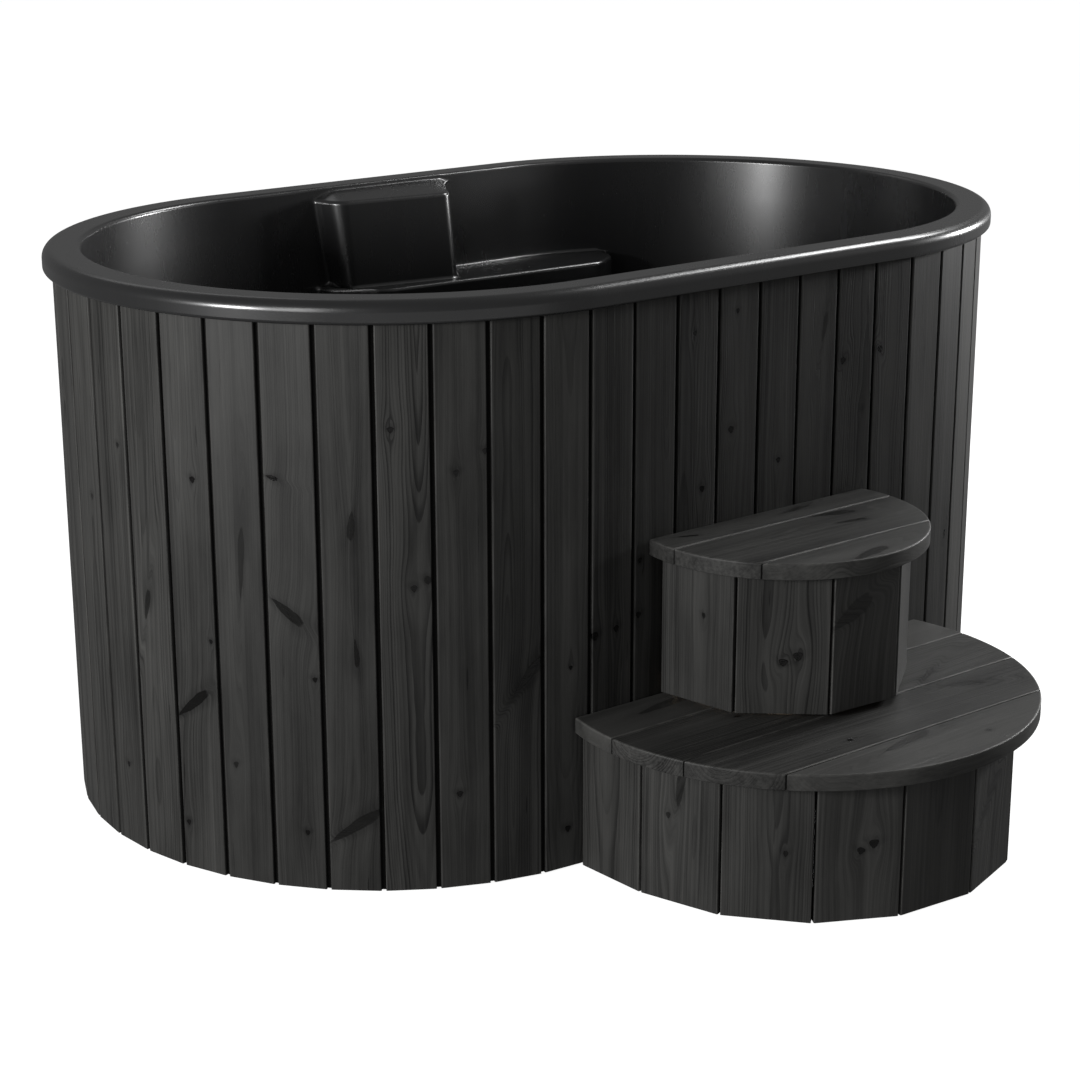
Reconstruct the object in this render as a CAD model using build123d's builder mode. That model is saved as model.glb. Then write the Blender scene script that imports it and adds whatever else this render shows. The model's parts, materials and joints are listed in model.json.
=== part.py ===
# Cold plunge tub: a one-piece moulded liner in a framed, insulated, board-clad
# oval casing, with a bottom drain and quarter-turn valve at the back, and a
# loose two-tread entry step that stands against the front.
#
# Frame: millimetres, +Z up, origin on the floor under the middle of the tub.
# X runs along the tub, the step stands on the -Y side, the valve is at +Y.
from build123d import *
import math
import os

os.makedirs("parts", exist_ok=True)

# ---------------------------------------------------------------- dimensions
# casing outline: a stadium, two half circles joined by straight runs
CASE_R = 585.2            # radius of the outline through the board joints
CASE_A = 339.0            # half length of the straight run
STAVE_PITCH = 92.0        # board spacing along the outline
STAVE_PHASE = -1363.35    # outline position of the first counted joint
STAVE_T = 18.0            # board thickness
STAVE_GAP = 7.0           # open joint between board faces
STAVE_EASE = 2.0          # eased long edges
STAVE_Z0 = 4.0            # board foot above the floor
STAVE_Z1 = 985.0          # board top, hidden under the rim
TONGUE_D0, TONGUE_D1 = 8.0, 12.6      # tongue depth band from the outer face
TONGUE_L = 11.0                        # tongue reach past its board's edge
GROOVE_D0, GROOVE_D1 = 6.2, 13.2       # groove band from the outer face
GROOVE_L = 7.0                         # groove depth into the board

# liner and rim
TUB_H = 998.0             # top of the rim
RIM_OVER = 15.5           # rim overhang outside the board joints
RIM_LIP = 38.0            # depth of the turned-down lip
RIM_UNDER = 8.0           # rim flange thickness
RIM_TOP_R = 21.5          # outer top rounding
RIM_IN_R = 12.0           # inner top rounding
WALL_IN_TOP = 51.3        # inner wall face inside the outline, at the top
WALL_IN_BOT = 87.3        # the same at the liner floor
LINER_T = 6.0             # moulded wall thickness
FLOOR_Z = 149.0           # top of the liner floor
CORNER_R = 60.0           # floor-to-wall rounding

# moulded pilaster with a ledge, and the block that rises from it (far wall)
LEDGE_Z = 802.0
LEDGE_PTS = [(-152, 585), (-146, 500), (-62, 413), (466, 381), (532, 428), (536, 585)]
LEDGE_R = [0, 30, 60, 45, 50, 0]
BLOCK_Z = 976.0
BLOCK_PTS = [(-146, 585), (-142, 486), (-75, 424), (96, 424), (164, 480), (170, 585)]
BLOCK_R = [0, 16, 48, 48, 20, 0]

# frame
RING_R = 565.0            # outside of deck and rings, just inside the boards
DECK_Z0, DECK_T = 45.0, 18.0
MID_Z0, RING_T = 470.0, 27.0
TOP_Z0 = 963.0
FLOOR_FOAM_T = 80.0

# drain
DRAIN_X, DRAIN_Y = 245.7, 330.0
PIPE_Z = 103.0
BALL_Y = 650.0

# step unit
STEP_BACK = -587.0        # back edges, 2 mm clear of the boards
TREAD_T = 28.0
LOW_C, LOW_TREAD_R, LOW_TOP = (20.2, -690.5), 417.4, 274.0
UP_C, UP_TREAD_R, UP_TOP = (23.7, -638.5), 254.9, 554.0
LOW_SEAMS = [-697.0, -841.0, -981.0]
UP_SEAMS = [-654.5, -801.5]
SEAM = 2.4                # open joint between tread boards
SKIRT_T = 15.0
LOW_SKIRT_R = 383.5
LOW_SKIRT_ANG = [-84.4, -61.6, -38.7, -16.6, 6.4, 29.1, 51.8, 74.5, 97.2]
UP_SKIRT_PTS = [(-212.1, -604.3), (-184.2, -753.9), (-64.7, -859.7), (81.8, -869.8),
                (200.0, -781.1), (252.0, -640.0)]
UP_SKIRT_Z0 = 284.0
PLATE_T = 18.0


# ---------------------------------------------------------------- helpers
def outline(s, r=CASE_R, a=CASE_A):
    """Point on the casing outline; s = 0 at the front middle, + towards +X."""
    per = 4 * a + 2 * math.pi * r
    s = (s + per / 2) % per - per / 2
    m, g = abs(s), (1 if s >= 0 else -1)
    if m <= a:
        return (s, -r)
    if m <= a + math.pi * r:
        t = (m - a) / r
        return (g * (a + r * math.sin(t)), -r * math.cos(t))
    return (g * (a - (m - a - math.pi * r)), r)


PERIM = 4 * CASE_A + 2 * math.pi * CASE_R


def stave_ends():
    """Outline positions of every board joint, front to back and round again."""
    js = [STAVE_PHASE + STAVE_PITCH * i for i in range(-12, 43)]
    out = [(js[i], js[i + 1]) for i in range(len(js) - 1)]
    out.append((js[-1], js[0] + PERIM))      # the narrower board ripped to close the ring
    return out


def stave_plan(s0, s1):
    """Plan outline of one tongue-and-groove board between two joints."""
    ax, ay = outline(s0)
    bx, by = outline(s1)
    ln = math.hypot(bx - ax, by - ay)
    tx, ty = (bx - ax) / ln, (by - ay) / ln
    nx, ny = -ty, tx                          # inward
    g, e, t = STAVE_GAP / 2, STAVE_EASE, STAVE_T

    def at(u, d):
        return (ax + tx * u + nx * d, ay + ty * u + ny * d)

    lo, hi = g, ln - g
    return [at(lo + e, 0), at(hi - e, 0), at(hi, e),
            at(hi, TONGUE_D0), at(hi + TONGUE_L, TONGUE_D0),
            at(hi + TONGUE_L, TONGUE_D1), at(hi, TONGUE_D1), at(hi, t), at(lo, t),
            at(lo, GROOVE_D1), at(lo + GROOVE_L, GROOVE_D1),
            at(lo + GROOVE_L, GROOVE_D0), at(lo, GROOVE_D0), at(lo, e)]


def circ_pt(c, r, deg):
    return (c[0] + r * math.sin(math.radians(deg)), c[1] - r * math.cos(math.radians(deg)))


def near(vertices, x, y):
    return sorted(vertices, key=lambda v: (v.X - x) ** 2 + (v.Y - y) ** 2)[0]


def skirt_plans(pts, t, gap_out=5.6, gap_in=0.6, first_end=0.0, last_end=0.0):
    """Bevel-edged boards round a polygon: outer faces on its sides."""
    def unit(a, b):
        d = math.hypot(b[0] - a[0], b[1] - a[1])
        return ((b[0] - a[0]) / d, (b[1] - a[1]) / d)

    plans = []
    n = len(pts)
    inner = []
    for i in range(n):
        if i == 0:
            u = unit(pts[0], pts[1])
            inner.append((pts[0][0] - u[1] * t, pts[0][1] + u[0] * t))
        elif i == n - 1:
            u = unit(pts[-2], pts[-1])
            inner.append((pts[-1][0] - u[1] * t, pts[-1][1] + u[0] * t))
        else:
            u, v = unit(pts[i - 1], pts[i]), unit(pts[i], pts[i + 1])
            bx, by = -(u[1] + v[1]), (u[0] + v[0])
            bl = math.hypot(bx, by)
            bx, by = bx / bl, by / bl
            k = t / (bx * -u[1] + by * u[0])
            inner.append((pts[i][0] + bx * k, pts[i][1] + by * k))
    for i in range(n - 1):
        u = unit(pts[i], pts[i + 1])
        w = unit(inner[i], inner[i + 1])
        ga = first_end if i == 0 else gap_out / 2
        gb = last_end if i == n - 2 else gap_out / 2
        ia = 0.0 if i == 0 else gap_in / 2
        ib = 0.0 if i == n - 2 else gap_in / 2
        e = 1.5
        a, b = pts[i], pts[i + 1]
        p, q = inner[i], inner[i + 1]
        a1 = (a[0] + u[0] * (ga + e), a[1] + u[1] * (ga + e))
        b1 = (b[0] - u[0] * (gb + e), b[1] - u[1] * (gb + e))
        a2 = (a[0] + u[0] * ga - u[1] * e, a[1] + u[1] * ga + u[0] * e)
        b2 = (b[0] - u[0] * gb - u[1] * e, b[1] - u[1] * gb + u[0] * e)
        p1 = (p[0] + w[0] * ia, p[1] + w[1] * ia)
        q1 = (q[0] - w[0] * ib, q[1] - w[1] * ib)
        plans.append([a1, b1, b2, q1, p1, a2])
    return plans


# profile plane at the right end's axis: local x runs to -Y, local y up, so a
# 180 degree turn about +Z makes the right-hand end
END = Plane(origin=(CASE_A, 0, 0), x_dir=(0, -1, 0), z_dir=(-1, 0, 0))


def finish(part, name):
    part.label = name
    export_step(part, "parts/" + name + ".step")


# ---------------------------------------------------------------- liner
# One profile, from the axis along the floor, up the wall, over the rim and
# back: spun 180 degrees at each end and drawn straight between the ends.
R0 = CASE_R
slope = (WALL_IN_BOT - WALL_IN_TOP) / (TUB_H - FLOOR_Z)


def wall_in(z):
    return R0 - WALL_IN_TOP - slope * (TUB_H - z)


def wall_out(z):
    return wall_in(z) + LINER_T * math.sqrt(1 + slope * slope)


UNDER_Z = TUB_H - RIM_UNDER
LINER_PROFILE = [
    (0, FLOOR_Z), (wall_in(FLOOR_Z), FLOOR_Z), (wall_in(TUB_H), TUB_H),
    (R0 + RIM_OVER, TUB_H), (R0 + RIM_OVER, TUB_H - RIM_LIP),
    (R0 + 0.6, TUB_H - RIM_LIP), (R0 + 0.6, UNDER_Z), (wall_out(UNDER_Z), UNDER_Z),
    (wall_out(FLOOR_Z - LINER_T), FLOOR_Z - LINER_T), (0, FLOOR_Z - LINER_T)]
LINER_FILLETS = [(1, CORNER_R), (2, RIM_IN_R), (3, RIM_TOP_R), (4, 6.0), (8, CORNER_R + LINER_T)]

# the volume inside the liner's outer skin, used to trim the moulded bulges
SKIN_PROFILE = [(0, FLOOR_Z - LINER_T + 3), (wall_out(FLOOR_Z - 3) - 3, FLOOR_Z - LINER_T + 3),
                (wall_out(TUB_H - 20) - 3, TUB_H - 20), (0, TUB_H - 20)]

with BuildPart() as skin_body:
    with BuildSketch(END) as sk_a:
        with BuildLine():
            Polyline(*SKIN_PROFILE, close=True)
        make_face()
        fillet([near(sk_a.vertices(), *SKIN_PROFILE[1])], CORNER_R + 3)
    revolve(axis=Axis((CASE_A, 0, 0), (0, 0, 1)), revolution_arc=180)
    mirror(about=Plane.YZ)
    with BuildSketch(Plane.YZ.offset(-CASE_A)) as sk_b:
        with BuildLine():
            Polyline(*SKIN_PROFILE, close=True)
        make_face()
        fillet([near(sk_b.vertices(), *SKIN_PROFILE[1])], CORNER_R + 3)
        mirror(about=Plane.YZ)
    extrude(amount=2 * CASE_A)

with BuildPart() as bulge_outer:
    # ledge pilaster and block, as they stand in the cavity
    with BuildSketch(Plane.XY.offset(LEDGE_Z)) as sk_c:
        with BuildLine():
            Polyline(*LEDGE_PTS, close=True)
        make_face()
        for (px, py), pr in zip(LEDGE_PTS, LEDGE_R):
            if pr:
                fillet([near(sk_c.vertices(), px, py)], pr)
    extrude(amount=-(LEDGE_Z - FLOOR_Z + 4), taper=-1.2)
    fillet(bulge_outer.faces().sort_by(Axis.Z)[-1].edges().filter_by_position(Axis.Y, 300, 583), 9)
    with BuildSketch(Plane.XY.offset(LEDGE_Z - 12)) as sk_d:
        with BuildLine():
            Polyline(*BLOCK_PTS, close=True)
        make_face()
        for (px, py), pr in zip(BLOCK_PTS, BLOCK_R):
            if pr:
                fillet([near(sk_d.vertices(), px, py)], pr)
    extrude(amount=BLOCK_Z - LEDGE_Z + 12 - 10, taper=6.5)
    # rounded-over top, as a steeper last band
    extrude(bulge_outer.faces().sort_by(Axis.Z)[-1], amount=10, taper=38)
    add(skin_body.part, mode=Mode.INTERSECT)


def inset(pts, d, back):
    """Shrink a plan by d on every side but the open back."""
    out = []
    n = len(pts)
    for i, (x, y) in enumerate(pts):
        if i == 0:
            out.append((x + d, back))
        elif i == n - 1:
            out.append((x - d, back))
        else:
            ax, ay = pts[i - 1]
            bx, by = pts[i + 1]
            ul = math.hypot(x - ax, y - ay)
            vl = math.hypot(bx - x, by - y)
            u = ((x - ax) / ul, (y - ay) / ul)
            v = ((bx - x) / vl, (by - y) / vl)
            nx, ny = -(u[1] + v[1]), (u[0] + v[0])
            nl = math.hypot(nx, ny)
            nx, ny = nx / nl, ny / nl
            k = d / (nx * -u[1] + ny * u[0])
            out.append((x + nx * k, y + ny * k))
    return out


LEDGE_IN = inset(LEDGE_PTS, LINER_T, 600.0)
BLOCK_IN = inset(BLOCK_PTS, LINER_T, 600.0)

with BuildPart() as bulge_inner:
    # the hollow behind the ledge and the block, open at the back of the liner
    with BuildSketch(Plane.XY.offset(LEDGE_Z - LINER_T)) as sk_e:
        with BuildLine():
            Polyline(*LEDGE_IN, close=True)
        make_face()
        for (px, py), pr in zip(LEDGE_IN, LEDGE_R):
            if pr:
                fillet([near(sk_e.vertices(), px, py)], max(pr - LINER_T, 8))
    extrude(amount=-(LEDGE_Z - FLOOR_Z - LINER_T - 90), taper=-1.2)
    with BuildSketch(Plane.XY.offset(LEDGE_Z - 12)) as sk_f:
        with BuildLine():
            Polyline(*BLOCK_IN, close=True)
        make_face()
        for (px, py), pr in zip(BLOCK_IN, BLOCK_R):
            if pr:
                fillet([near(sk_f.vertices(), px, py)], max(pr - LINER_T, 8))
    extrude(amount=BLOCK_Z - LEDGE_Z - LINER_T + 12, taper=6.5)

with BuildPart() as liner:
    with BuildSketch(END) as sk_g:
        with BuildLine():
            Polyline(*LINER_PROFILE, close=True)
        make_face()
        for idx, rad in LINER_FILLETS:
            fillet([near(sk_g.vertices(), *LINER_PROFILE[idx])], rad)
    revolve(axis=Axis((CASE_A, 0, 0), (0, 0, 1)), revolution_arc=180)
    mirror(about=Plane.YZ)
    with BuildSketch(Plane.YZ.offset(-CASE_A)) as sk_h:
        with BuildLine():
            Polyline(*LINER_PROFILE, close=True)
        make_face()
        for idx, rad in LINER_FILLETS:
            fillet([near(sk_h.vertices(), *LINER_PROFILE[idx])], rad)
        mirror(about=Plane.YZ)
    extrude(amount=2 * CASE_A)
    add(bulge_outer.part)
    add(bulge_inner.part, mode=Mode.SUBTRACT)
    with BuildSketch(Plane.XY.offset(FLOOR_Z - LINER_T - 1)):
        with Locations((DRAIN_X, DRAIN_Y)):
            Circle(26.0)
    extrude(amount=LINER_T + 2, mode=Mode.SUBTRACT)
finish(liner.part, "liner")

# ---------------------------------------------------------------- cladding
STAVES = stave_ends()


def stave_sets():
    """Boards sorted into the runs they are fixed in: front, right, back, left."""
    sets = {"front": [], "right": [], "back": [], "left": []}
    for s0, s1 in STAVES:
        m = (s0 + s1) / 2
        m = (m + PERIM / 2) % PERIM - PERIM / 2
        quarter = CASE_A + math.pi * CASE_R / 4
        back = CASE_A + 3 * math.pi * CASE_R / 4
        if abs(m) <= quarter:
            sets["front"].append((s0, s1))
        elif abs(m) >= back:
            sets["back"].append((s0, s1))
        elif m > 0:
            sets["right"].append((s0, s1))
        else:
            sets["left"].append((s0, s1))
    return sets


SETS = stave_sets()

with BuildPart() as cladding_front:
    with BuildSketch(Plane.XY.offset(STAVE_Z0)):
        for s0, s1 in SETS["front"]:
            with BuildLine():
                Polyline(*stave_plan(s0, s1), close=True)
            make_face()
    extrude(amount=STAVE_Z1 - STAVE_Z0)
finish(cladding_front.part, "cladding_front")

with BuildPart() as cladding_right_end:
    with BuildSketch(Plane.XY.offset(STAVE_Z0)):
        for s0, s1 in SETS["right"]:
            with BuildLine():
                Polyline(*stave_plan(s0, s1), close=True)
            make_face()
    extrude(amount=STAVE_Z1 - STAVE_Z0)
finish(cladding_right_end.part, "cladding_right_end")

with BuildPart() as cladding_left_end:
    with BuildSketch(Plane.XY.offset(STAVE_Z0)):
        for s0, s1 in SETS["left"]:
            with BuildLine():
                Polyline(*stave_plan(s0, s1), close=True)
            make_face()
    extrude(amount=STAVE_Z1 - STAVE_Z0)
finish(cladding_left_end.part, "cladding_left_end")

with BuildPart() as cladding_back:
    with BuildSketch(Plane.XY.offset(STAVE_Z0)):
        for s0, s1 in SETS["back"]:
            with BuildLine():
                Polyline(*stave_plan(s0, s1), close=True)
            make_face()
    extrude(amount=STAVE_Z1 - STAVE_Z0)
    # hole for the drain pipe
    with BuildSketch(Plane.XZ.offset(-(CASE_R + 20))):
        with Locations((DRAIN_X, PIPE_Z)):
            Circle(27.0)
    extrude(amount=60, mode=Mode.SUBTRACT)
finish(cladding_back.part, "cladding_back")

# ---------------------------------------------------------------- base and rings
BEARER_X = [-700.0, -350.0, 0.0, 350.0, 700.0]
BEARER_W = 70.0


def case_half_width(x, r):
    over = max(abs(x) - CASE_A, 0.0)
    return math.sqrt(max(r * r - over * over, 0.0))


with BuildPart() as base_bearers:
    # five bearers across the tub, on the floor
    with BuildSketch(Plane.XY):
        for bx in BEARER_X:
            hw = case_half_width(abs(bx) + BEARER_W / 2, RING_R) - 8
            with Locations((bx, 0)):
                Rectangle(BEARER_W, 2 * hw)
    extrude(amount=DECK_Z0)
    # pilot holes for the deck screws
    with BuildSketch(Plane.XY.offset(DECK_Z0)):
        for bx in BEARER_X:
            sy = 200.0 if abs(bx) > 500 else 400.0
            with Locations((bx, sy), (bx, -sy)):
                Circle(2.25)
    extrude(amount=-27.0, mode=Mode.SUBTRACT)
finish(base_bearers.part, "base_bearers")

with BuildPart() as base_deck:
    with BuildSketch(Plane.XY.offset(DECK_Z0)):
        SlotCenterToCenter(2 * CASE_A, 2 * RING_R)
        for bx in BEARER_X:
            sy = 200.0 if abs(bx) > 500 else 400.0
            with Locations((bx, sy), (bx, -sy)):
                Circle(2.25, mode=Mode.SUBTRACT)
    extrude(amount=DECK_T)
    # countersinks for the screw heads
    for bx in BEARER_X:
        sy = 200.0 if abs(bx) > 500 else 400.0
        for yy in (sy, -sy):
            with Locations((bx, yy, DECK_Z0 + DECK_T)):
                CounterSinkHole(radius=2.25, counter_sink_radius=4.6, depth=DECK_T, counter_sink_angle=90)
finish(base_deck.part, "base_deck")

with BuildPart() as deck_screws:
    for bx in BEARER_X:
        sy = 200.0 if abs(bx) > 500 else 400.0
        with BuildSketch(Plane.XY.offset(DECK_Z0 + DECK_T)):
            with Locations((bx, sy), (bx, -sy)):
                Circle(2.25)
        extrude(amount=-44.0)
        with BuildSketch(Plane.XY.offset(DECK_Z0 + DECK_T)):
            with Locations((bx, sy), (bx, -sy)):
                Circle(4.5)
        extrude(amount=-2.25, taper=45)
finish(deck_screws.part, "deck_screws")

with BuildPart() as mid_ring:
    with BuildSketch(Plane.XY.offset(MID_Z0)):
        SlotCenterToCenter(2 * CASE_A, 2 * RING_R)
        SlotCenterToCenter(2 * CASE_A, 2 * (wall_out(MID_Z0 + RING_T) + 0.3), mode=Mode.SUBTRACT)
    extrude(amount=RING_T)
finish(mid_ring.part, "mid_ring")

with BuildPart() as top_ring:
    with BuildSketch(Plane.XY.offset(TOP_Z0)):
        SlotCenterToCenter(2 * CASE_A, 2 * RING_R)
        SlotCenterToCenter(2 * CASE_A, 2 * (wall_out(TOP_Z0 + RING_T) + 0.3), mode=Mode.SUBTRACT)
    extrude(amount=RING_T)
finish(top_ring.part, "top_ring")

# studs stand behind every fifth board, between deck, mid ring and top ring
STUD_W, STUD_D = 45.0, 20.0


def stud_plan(s0, s1):
    ax, ay = outline(s0)
    bx, by = outline(s1)
    ln = math.hypot(bx - ax, by - ay)
    tx, ty = (bx - ax) / ln, (by - ay) / ln
    nx, ny = -ty, tx
    mx, my = (ax + bx) / 2 + nx * (STAVE_T + 0.4), (ay + by) / 2 + ny * (STAVE_T + 0.4)
    # keep the stud's outer face no further out than the rings' edge
    px, py = mx, my
    sx = max(-CASE_A, min(CASE_A, px))
    d = math.hypot(px - sx, py)
    if d > RING_R - 0.2:
        k = d - (RING_R - 0.2)
        mx, my = mx + nx * k, my + ny * k
    h = STUD_W / 2
    return [(mx - tx * h, my - ty * h), (mx + tx * h, my + ty * h),
            (mx + tx * h + nx * STUD_D, my + ty * h + ny * STUD_D),
            (mx - tx * h + nx * STUD_D, my - ty * h + ny * STUD_D)]


STUD_AT = [STAVES[i] for i in range(2, 55, 4)]

with BuildPart() as lower_studs:
    with BuildSketch(Plane.XY.offset(DECK_Z0 + DECK_T)):
        for s0, s1 in STUD_AT:
            with BuildLine():
                Polyline(*stud_plan(s0, s1), close=True)
            make_face()
    extrude(amount=MID_Z0 - DECK_Z0 - DECK_T)
finish(lower_studs.part, "lower_studs")

with BuildPart() as upper_studs:
    with BuildSketch(Plane.XY.offset(MID_Z0 + RING_T)):
        for s0, s1 in STUD_AT:
            with BuildLine():
                Polyline(*stud_plan(s0, s1), close=True)
            make_face()
    extrude(amount=TOP_Z0 - MID_Z0 - RING_T)
finish(upper_studs.part, "upper_studs")

# ---------------------------------------------------------------- insulation
with BuildPart() as floor_insulation:
    with BuildSketch(Plane.XY.offset(DECK_Z0 + DECK_T)):
        SlotCenterToCenter(2 * CASE_A, 2 * (wall_out(FLOOR_Z) - 68))
        # channel for the drain pipe and its elbow
        with Locations((DRAIN_X, 520.0)):
            Rectangle(96.0, 480.0, mode=Mode.SUBTRACT)
    extrude(amount=FLOOR_FOAM_T)
finish(floor_insulation.part, "floor_insulation")

JACKET_OUT = RING_R - STUD_D - 3.0
LOW_J0, LOW_J1 = 230.0, MID_Z0
UP_J0, UP_J1 = MID_Z0 + RING_T, 940.0

with BuildPart() as lower_insulation:
    # foam sheet wrapped round the liner wall between deck and mid ring, open
    # behind the moulded ledge
    with BuildSketch(END):
        with BuildLine():
            Polyline((wall_out(LOW_J0) + 0.4, LOW_J0), (JACKET_OUT, LOW_J0), (JACKET_OUT, LOW_J1),
                     (wall_out(LOW_J1) + 0.4, LOW_J1), close=True)
        make_face()
    revolve(axis=Axis((CASE_A, 0, 0), (0, 0, 1)), revolution_arc=180)
    mirror(about=Plane.YZ)
    with BuildSketch(Plane.YZ.offset(-CASE_A)):
        with BuildLine():
            Polyline((wall_out(LOW_J0) + 0.4, LOW_J0), (JACKET_OUT, LOW_J0), (JACKET_OUT, LOW_J1),
                     (wall_out(LOW_J1) + 0.4, LOW_J1), close=True)
        make_face()
        mirror(about=Plane.YZ)
    extrude(amount=2 * CASE_A)
finish(lower_insulation.part, "lower_insulation")

with BuildPart() as upper_insulation:
    with BuildSketch(END):
        with BuildLine():
            Polyline((wall_out(UP_J0) + 0.4, UP_J0), (JACKET_OUT, UP_J0), (JACKET_OUT, UP_J1),
                     (wall_out(UP_J1) + 0.4, UP_J1), close=True)
        make_face()
    revolve(axis=Axis((CASE_A, 0, 0), (0, 0, 1)), revolution_arc=180)
    mirror(about=Plane.YZ)
    with BuildSketch(Plane.YZ.offset(-CASE_A)):
        with BuildLine():
            Polyline((wall_out(UP_J0) + 0.4, UP_J0), (JACKET_OUT, UP_J0), (JACKET_OUT, UP_J1),
                     (wall_out(UP_J1) + 0.4, UP_J1), close=True)
        make_face()
        mirror(about=Plane.YZ)
    extrude(amount=2 * CASE_A)
finish(upper_insulation.part, "upper_insulation")

# ---------------------------------------------------------------- drain
DX, DY = DRAIN_X, DRAIN_Y

with BuildPart() as drain_gasket:
    with BuildSketch(Plane.XY.offset(FLOOR_Z)):
        with Locations((DX, DY)):
            Circle(40.0)
            Circle(25.6, mode=Mode.SUBTRACT)
    extrude(amount=2.0)
finish(drain_gasket.part, "drain_gasket")

with BuildPart() as drain_body:
    # flange on the liner floor with a threaded tail below
    with BuildSketch(Plane.XY.offset(FLOOR_Z + 2)):
        with Locations((DX, DY)):
            Circle(42.0)
    extrude(amount=4.0)
    chamfer(drain_body.edges().group_by(Axis.Z)[-1], 1.5)
    with BuildSketch(Plane.XY.offset(FLOOR_Z + 2)):
        with Locations((DX, DY)):
            Circle(25.4)
    extrude(amount=-(FLOOR_Z + 2 - 112))
    with BuildSketch(Plane.XY.offset(112)):
        with Locations((DX, DY)):
            Circle(20.0)
    extrude(amount=60, mode=Mode.SUBTRACT)
    # seat for the strainer, and a cross bar that takes its screw
    with BuildSketch(Plane.XY.offset(FLOOR_Z + 4.2)):
        with Locations((DX, DY)):
            Circle(34.2)
    extrude(amount=5, mode=Mode.SUBTRACT)
    with BuildSketch(Plane.XY.offset(FLOOR_Z - 8)):
        with Locations((DX, DY)):
            Rectangle(41.0, 7.0)
    extrude(amount=8)
    with BuildSketch(Plane.XY.offset(FLOOR_Z + 0.1)):
        with Locations((DX, DY)):
            Circle(2.0)
    extrude(amount=-10, mode=Mode.SUBTRACT)
finish(drain_body.part, "drain_body")

with BuildPart() as drain_strainer:
    with BuildSketch(Plane.XY.offset(FLOOR_Z + 4.2)):
        with Locations((DX, DY)):
            Circle(34.0)
    extrude(amount=2.2)
    fillet(drain_strainer.edges().group_by(Axis.Z)[-1], 1.0)
    with BuildSketch(Plane.XY.offset(FLOOR_Z + 3)):
        with Locations((DX, DY)):
            with PolarLocations(10.0, 6):
                Circle(2.4)
            with PolarLocations(17.0, 12):
                Circle(2.4)
            Circle(2.2)
    extrude(amount=6, mode=Mode.SUBTRACT)
finish(drain_strainer.part, "drain_strainer")

with BuildPart() as strainer_screw:
    with BuildSketch(Plane.XY.offset(FLOOR_Z + 6.4)):
        with Locations((DX, DY)):
            Circle(4.6)
    extrude(amount=2.0)
    fillet(strainer_screw.edges().group_by(Axis.Z)[-1], 1.2)
    with BuildSketch(Plane.XY.offset(FLOOR_Z + 6.4)):
        with Locations((DX, DY)):
            Circle(1.95)
    extrude(amount=-14.4)
    with BuildSketch(Plane.XY.offset(FLOOR_Z + 8.4)):
        with Locations((DX, DY)):
            Rectangle(5.0, 1.0)
    extrude(amount=-1.0, mode=Mode.SUBTRACT)
finish(strainer_screw.part, "strainer_screw")

with BuildPart() as drain_washer:
    with BuildSketch(Plane.XY.offset(FLOOR_Z - LINER_T)):
        with Locations((DX, DY)):
            Circle(38.0)
            Circle(25.6, mode=Mode.SUBTRACT)
    extrude(amount=-2.0)
finish(drain_washer.part, "drain_washer")

with BuildPart() as drain_locknut:
    with BuildSketch(Plane.XY.offset(FLOOR_Z - LINER_T - 2)):
        with Locations((DX, DY)):
            RegularPolygon(radius=35.0, side_count=8)
            Circle(25.5, mode=Mode.SUBTRACT)
    extrude(amount=-8.0)
finish(drain_locknut.part, "drain_locknut")

ELBOW_TOP = FLOOR_Z - LINER_T - 2 - 9.5
with BuildPart() as drain_elbow:
    # swept quarter bend with a socket at each end
    with BuildSketch(Plane.XY.offset(PIPE_Z)):
        with Locations((DX, DY)):
            Circle(29.5)
    extrude(amount=ELBOW_TOP - PIPE_Z)
    with BuildSketch(Plane.XZ.offset(-DY)):
        with Locations((DX, PIPE_Z)):
            Circle(29.5)
    extrude(amount=-56.0)
    with Locations((DX, DY, PIPE_Z)):
        Sphere(29.5)
    # bores
    with BuildSketch(Plane.XY.offset(PIPE_Z)):
        with Locations((DX, DY)):
            Circle(20.5)
    extrude(amount=60, mode=Mode.SUBTRACT)
    with BuildSketch(Plane.XY.offset(111.5)):
        with Locations((DX, DY)):
            Circle(25.5)
    extrude(amount=60, mode=Mode.SUBTRACT)
    with BuildSketch(Plane.XZ.offset(-DY)):
        with Locations((DX, PIPE_Z)):
            Circle(20.5)
    extrude(amount=-80, mode=Mode.SUBTRACT)
    with Locations((DX, DY, PIPE_Z)):
        Sphere(20.5, mode=Mode.SUBTRACT)
    with BuildSketch(Plane.XZ.offset(-(DY + 30))):
        with Locations((DX, PIPE_Z)):
            Circle(25.0)
    extrude(amount=-60, mode=Mode.SUBTRACT)
finish(drain_elbow.part, "drain_elbow")

PIPE_Y0, PIPE_Y1 = DY + 30.0, BALL_Y - 30.0
with BuildPart() as drain_pipe:
    with BuildSketch(Plane.XZ.offset(-PIPE_Y0)):
        with Locations((DX, PIPE_Z)):
            Circle(25.0)
            Circle(20.5, mode=Mode.SUBTRACT)
    extrude(amount=-(PIPE_Y1 - PIPE_Y0))
finish(drain_pipe.part, "drain_pipe")

with BuildPart() as wall_collar:
    # cover ring where the pipe leaves the boards
    with BuildSketch(Plane.XZ.offset(-(CASE_R + 0.3))):
        with Locations((DX, PIPE_Z)):
            Circle(44.0)
            Circle(25.2, mode=Mode.SUBTRACT)
    extrude(amount=-6.0)
    fillet(wall_collar.faces().sort_by(Axis.Y)[-1].edges(), 2.0)
finish(wall_collar.part, "wall_collar")

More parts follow.
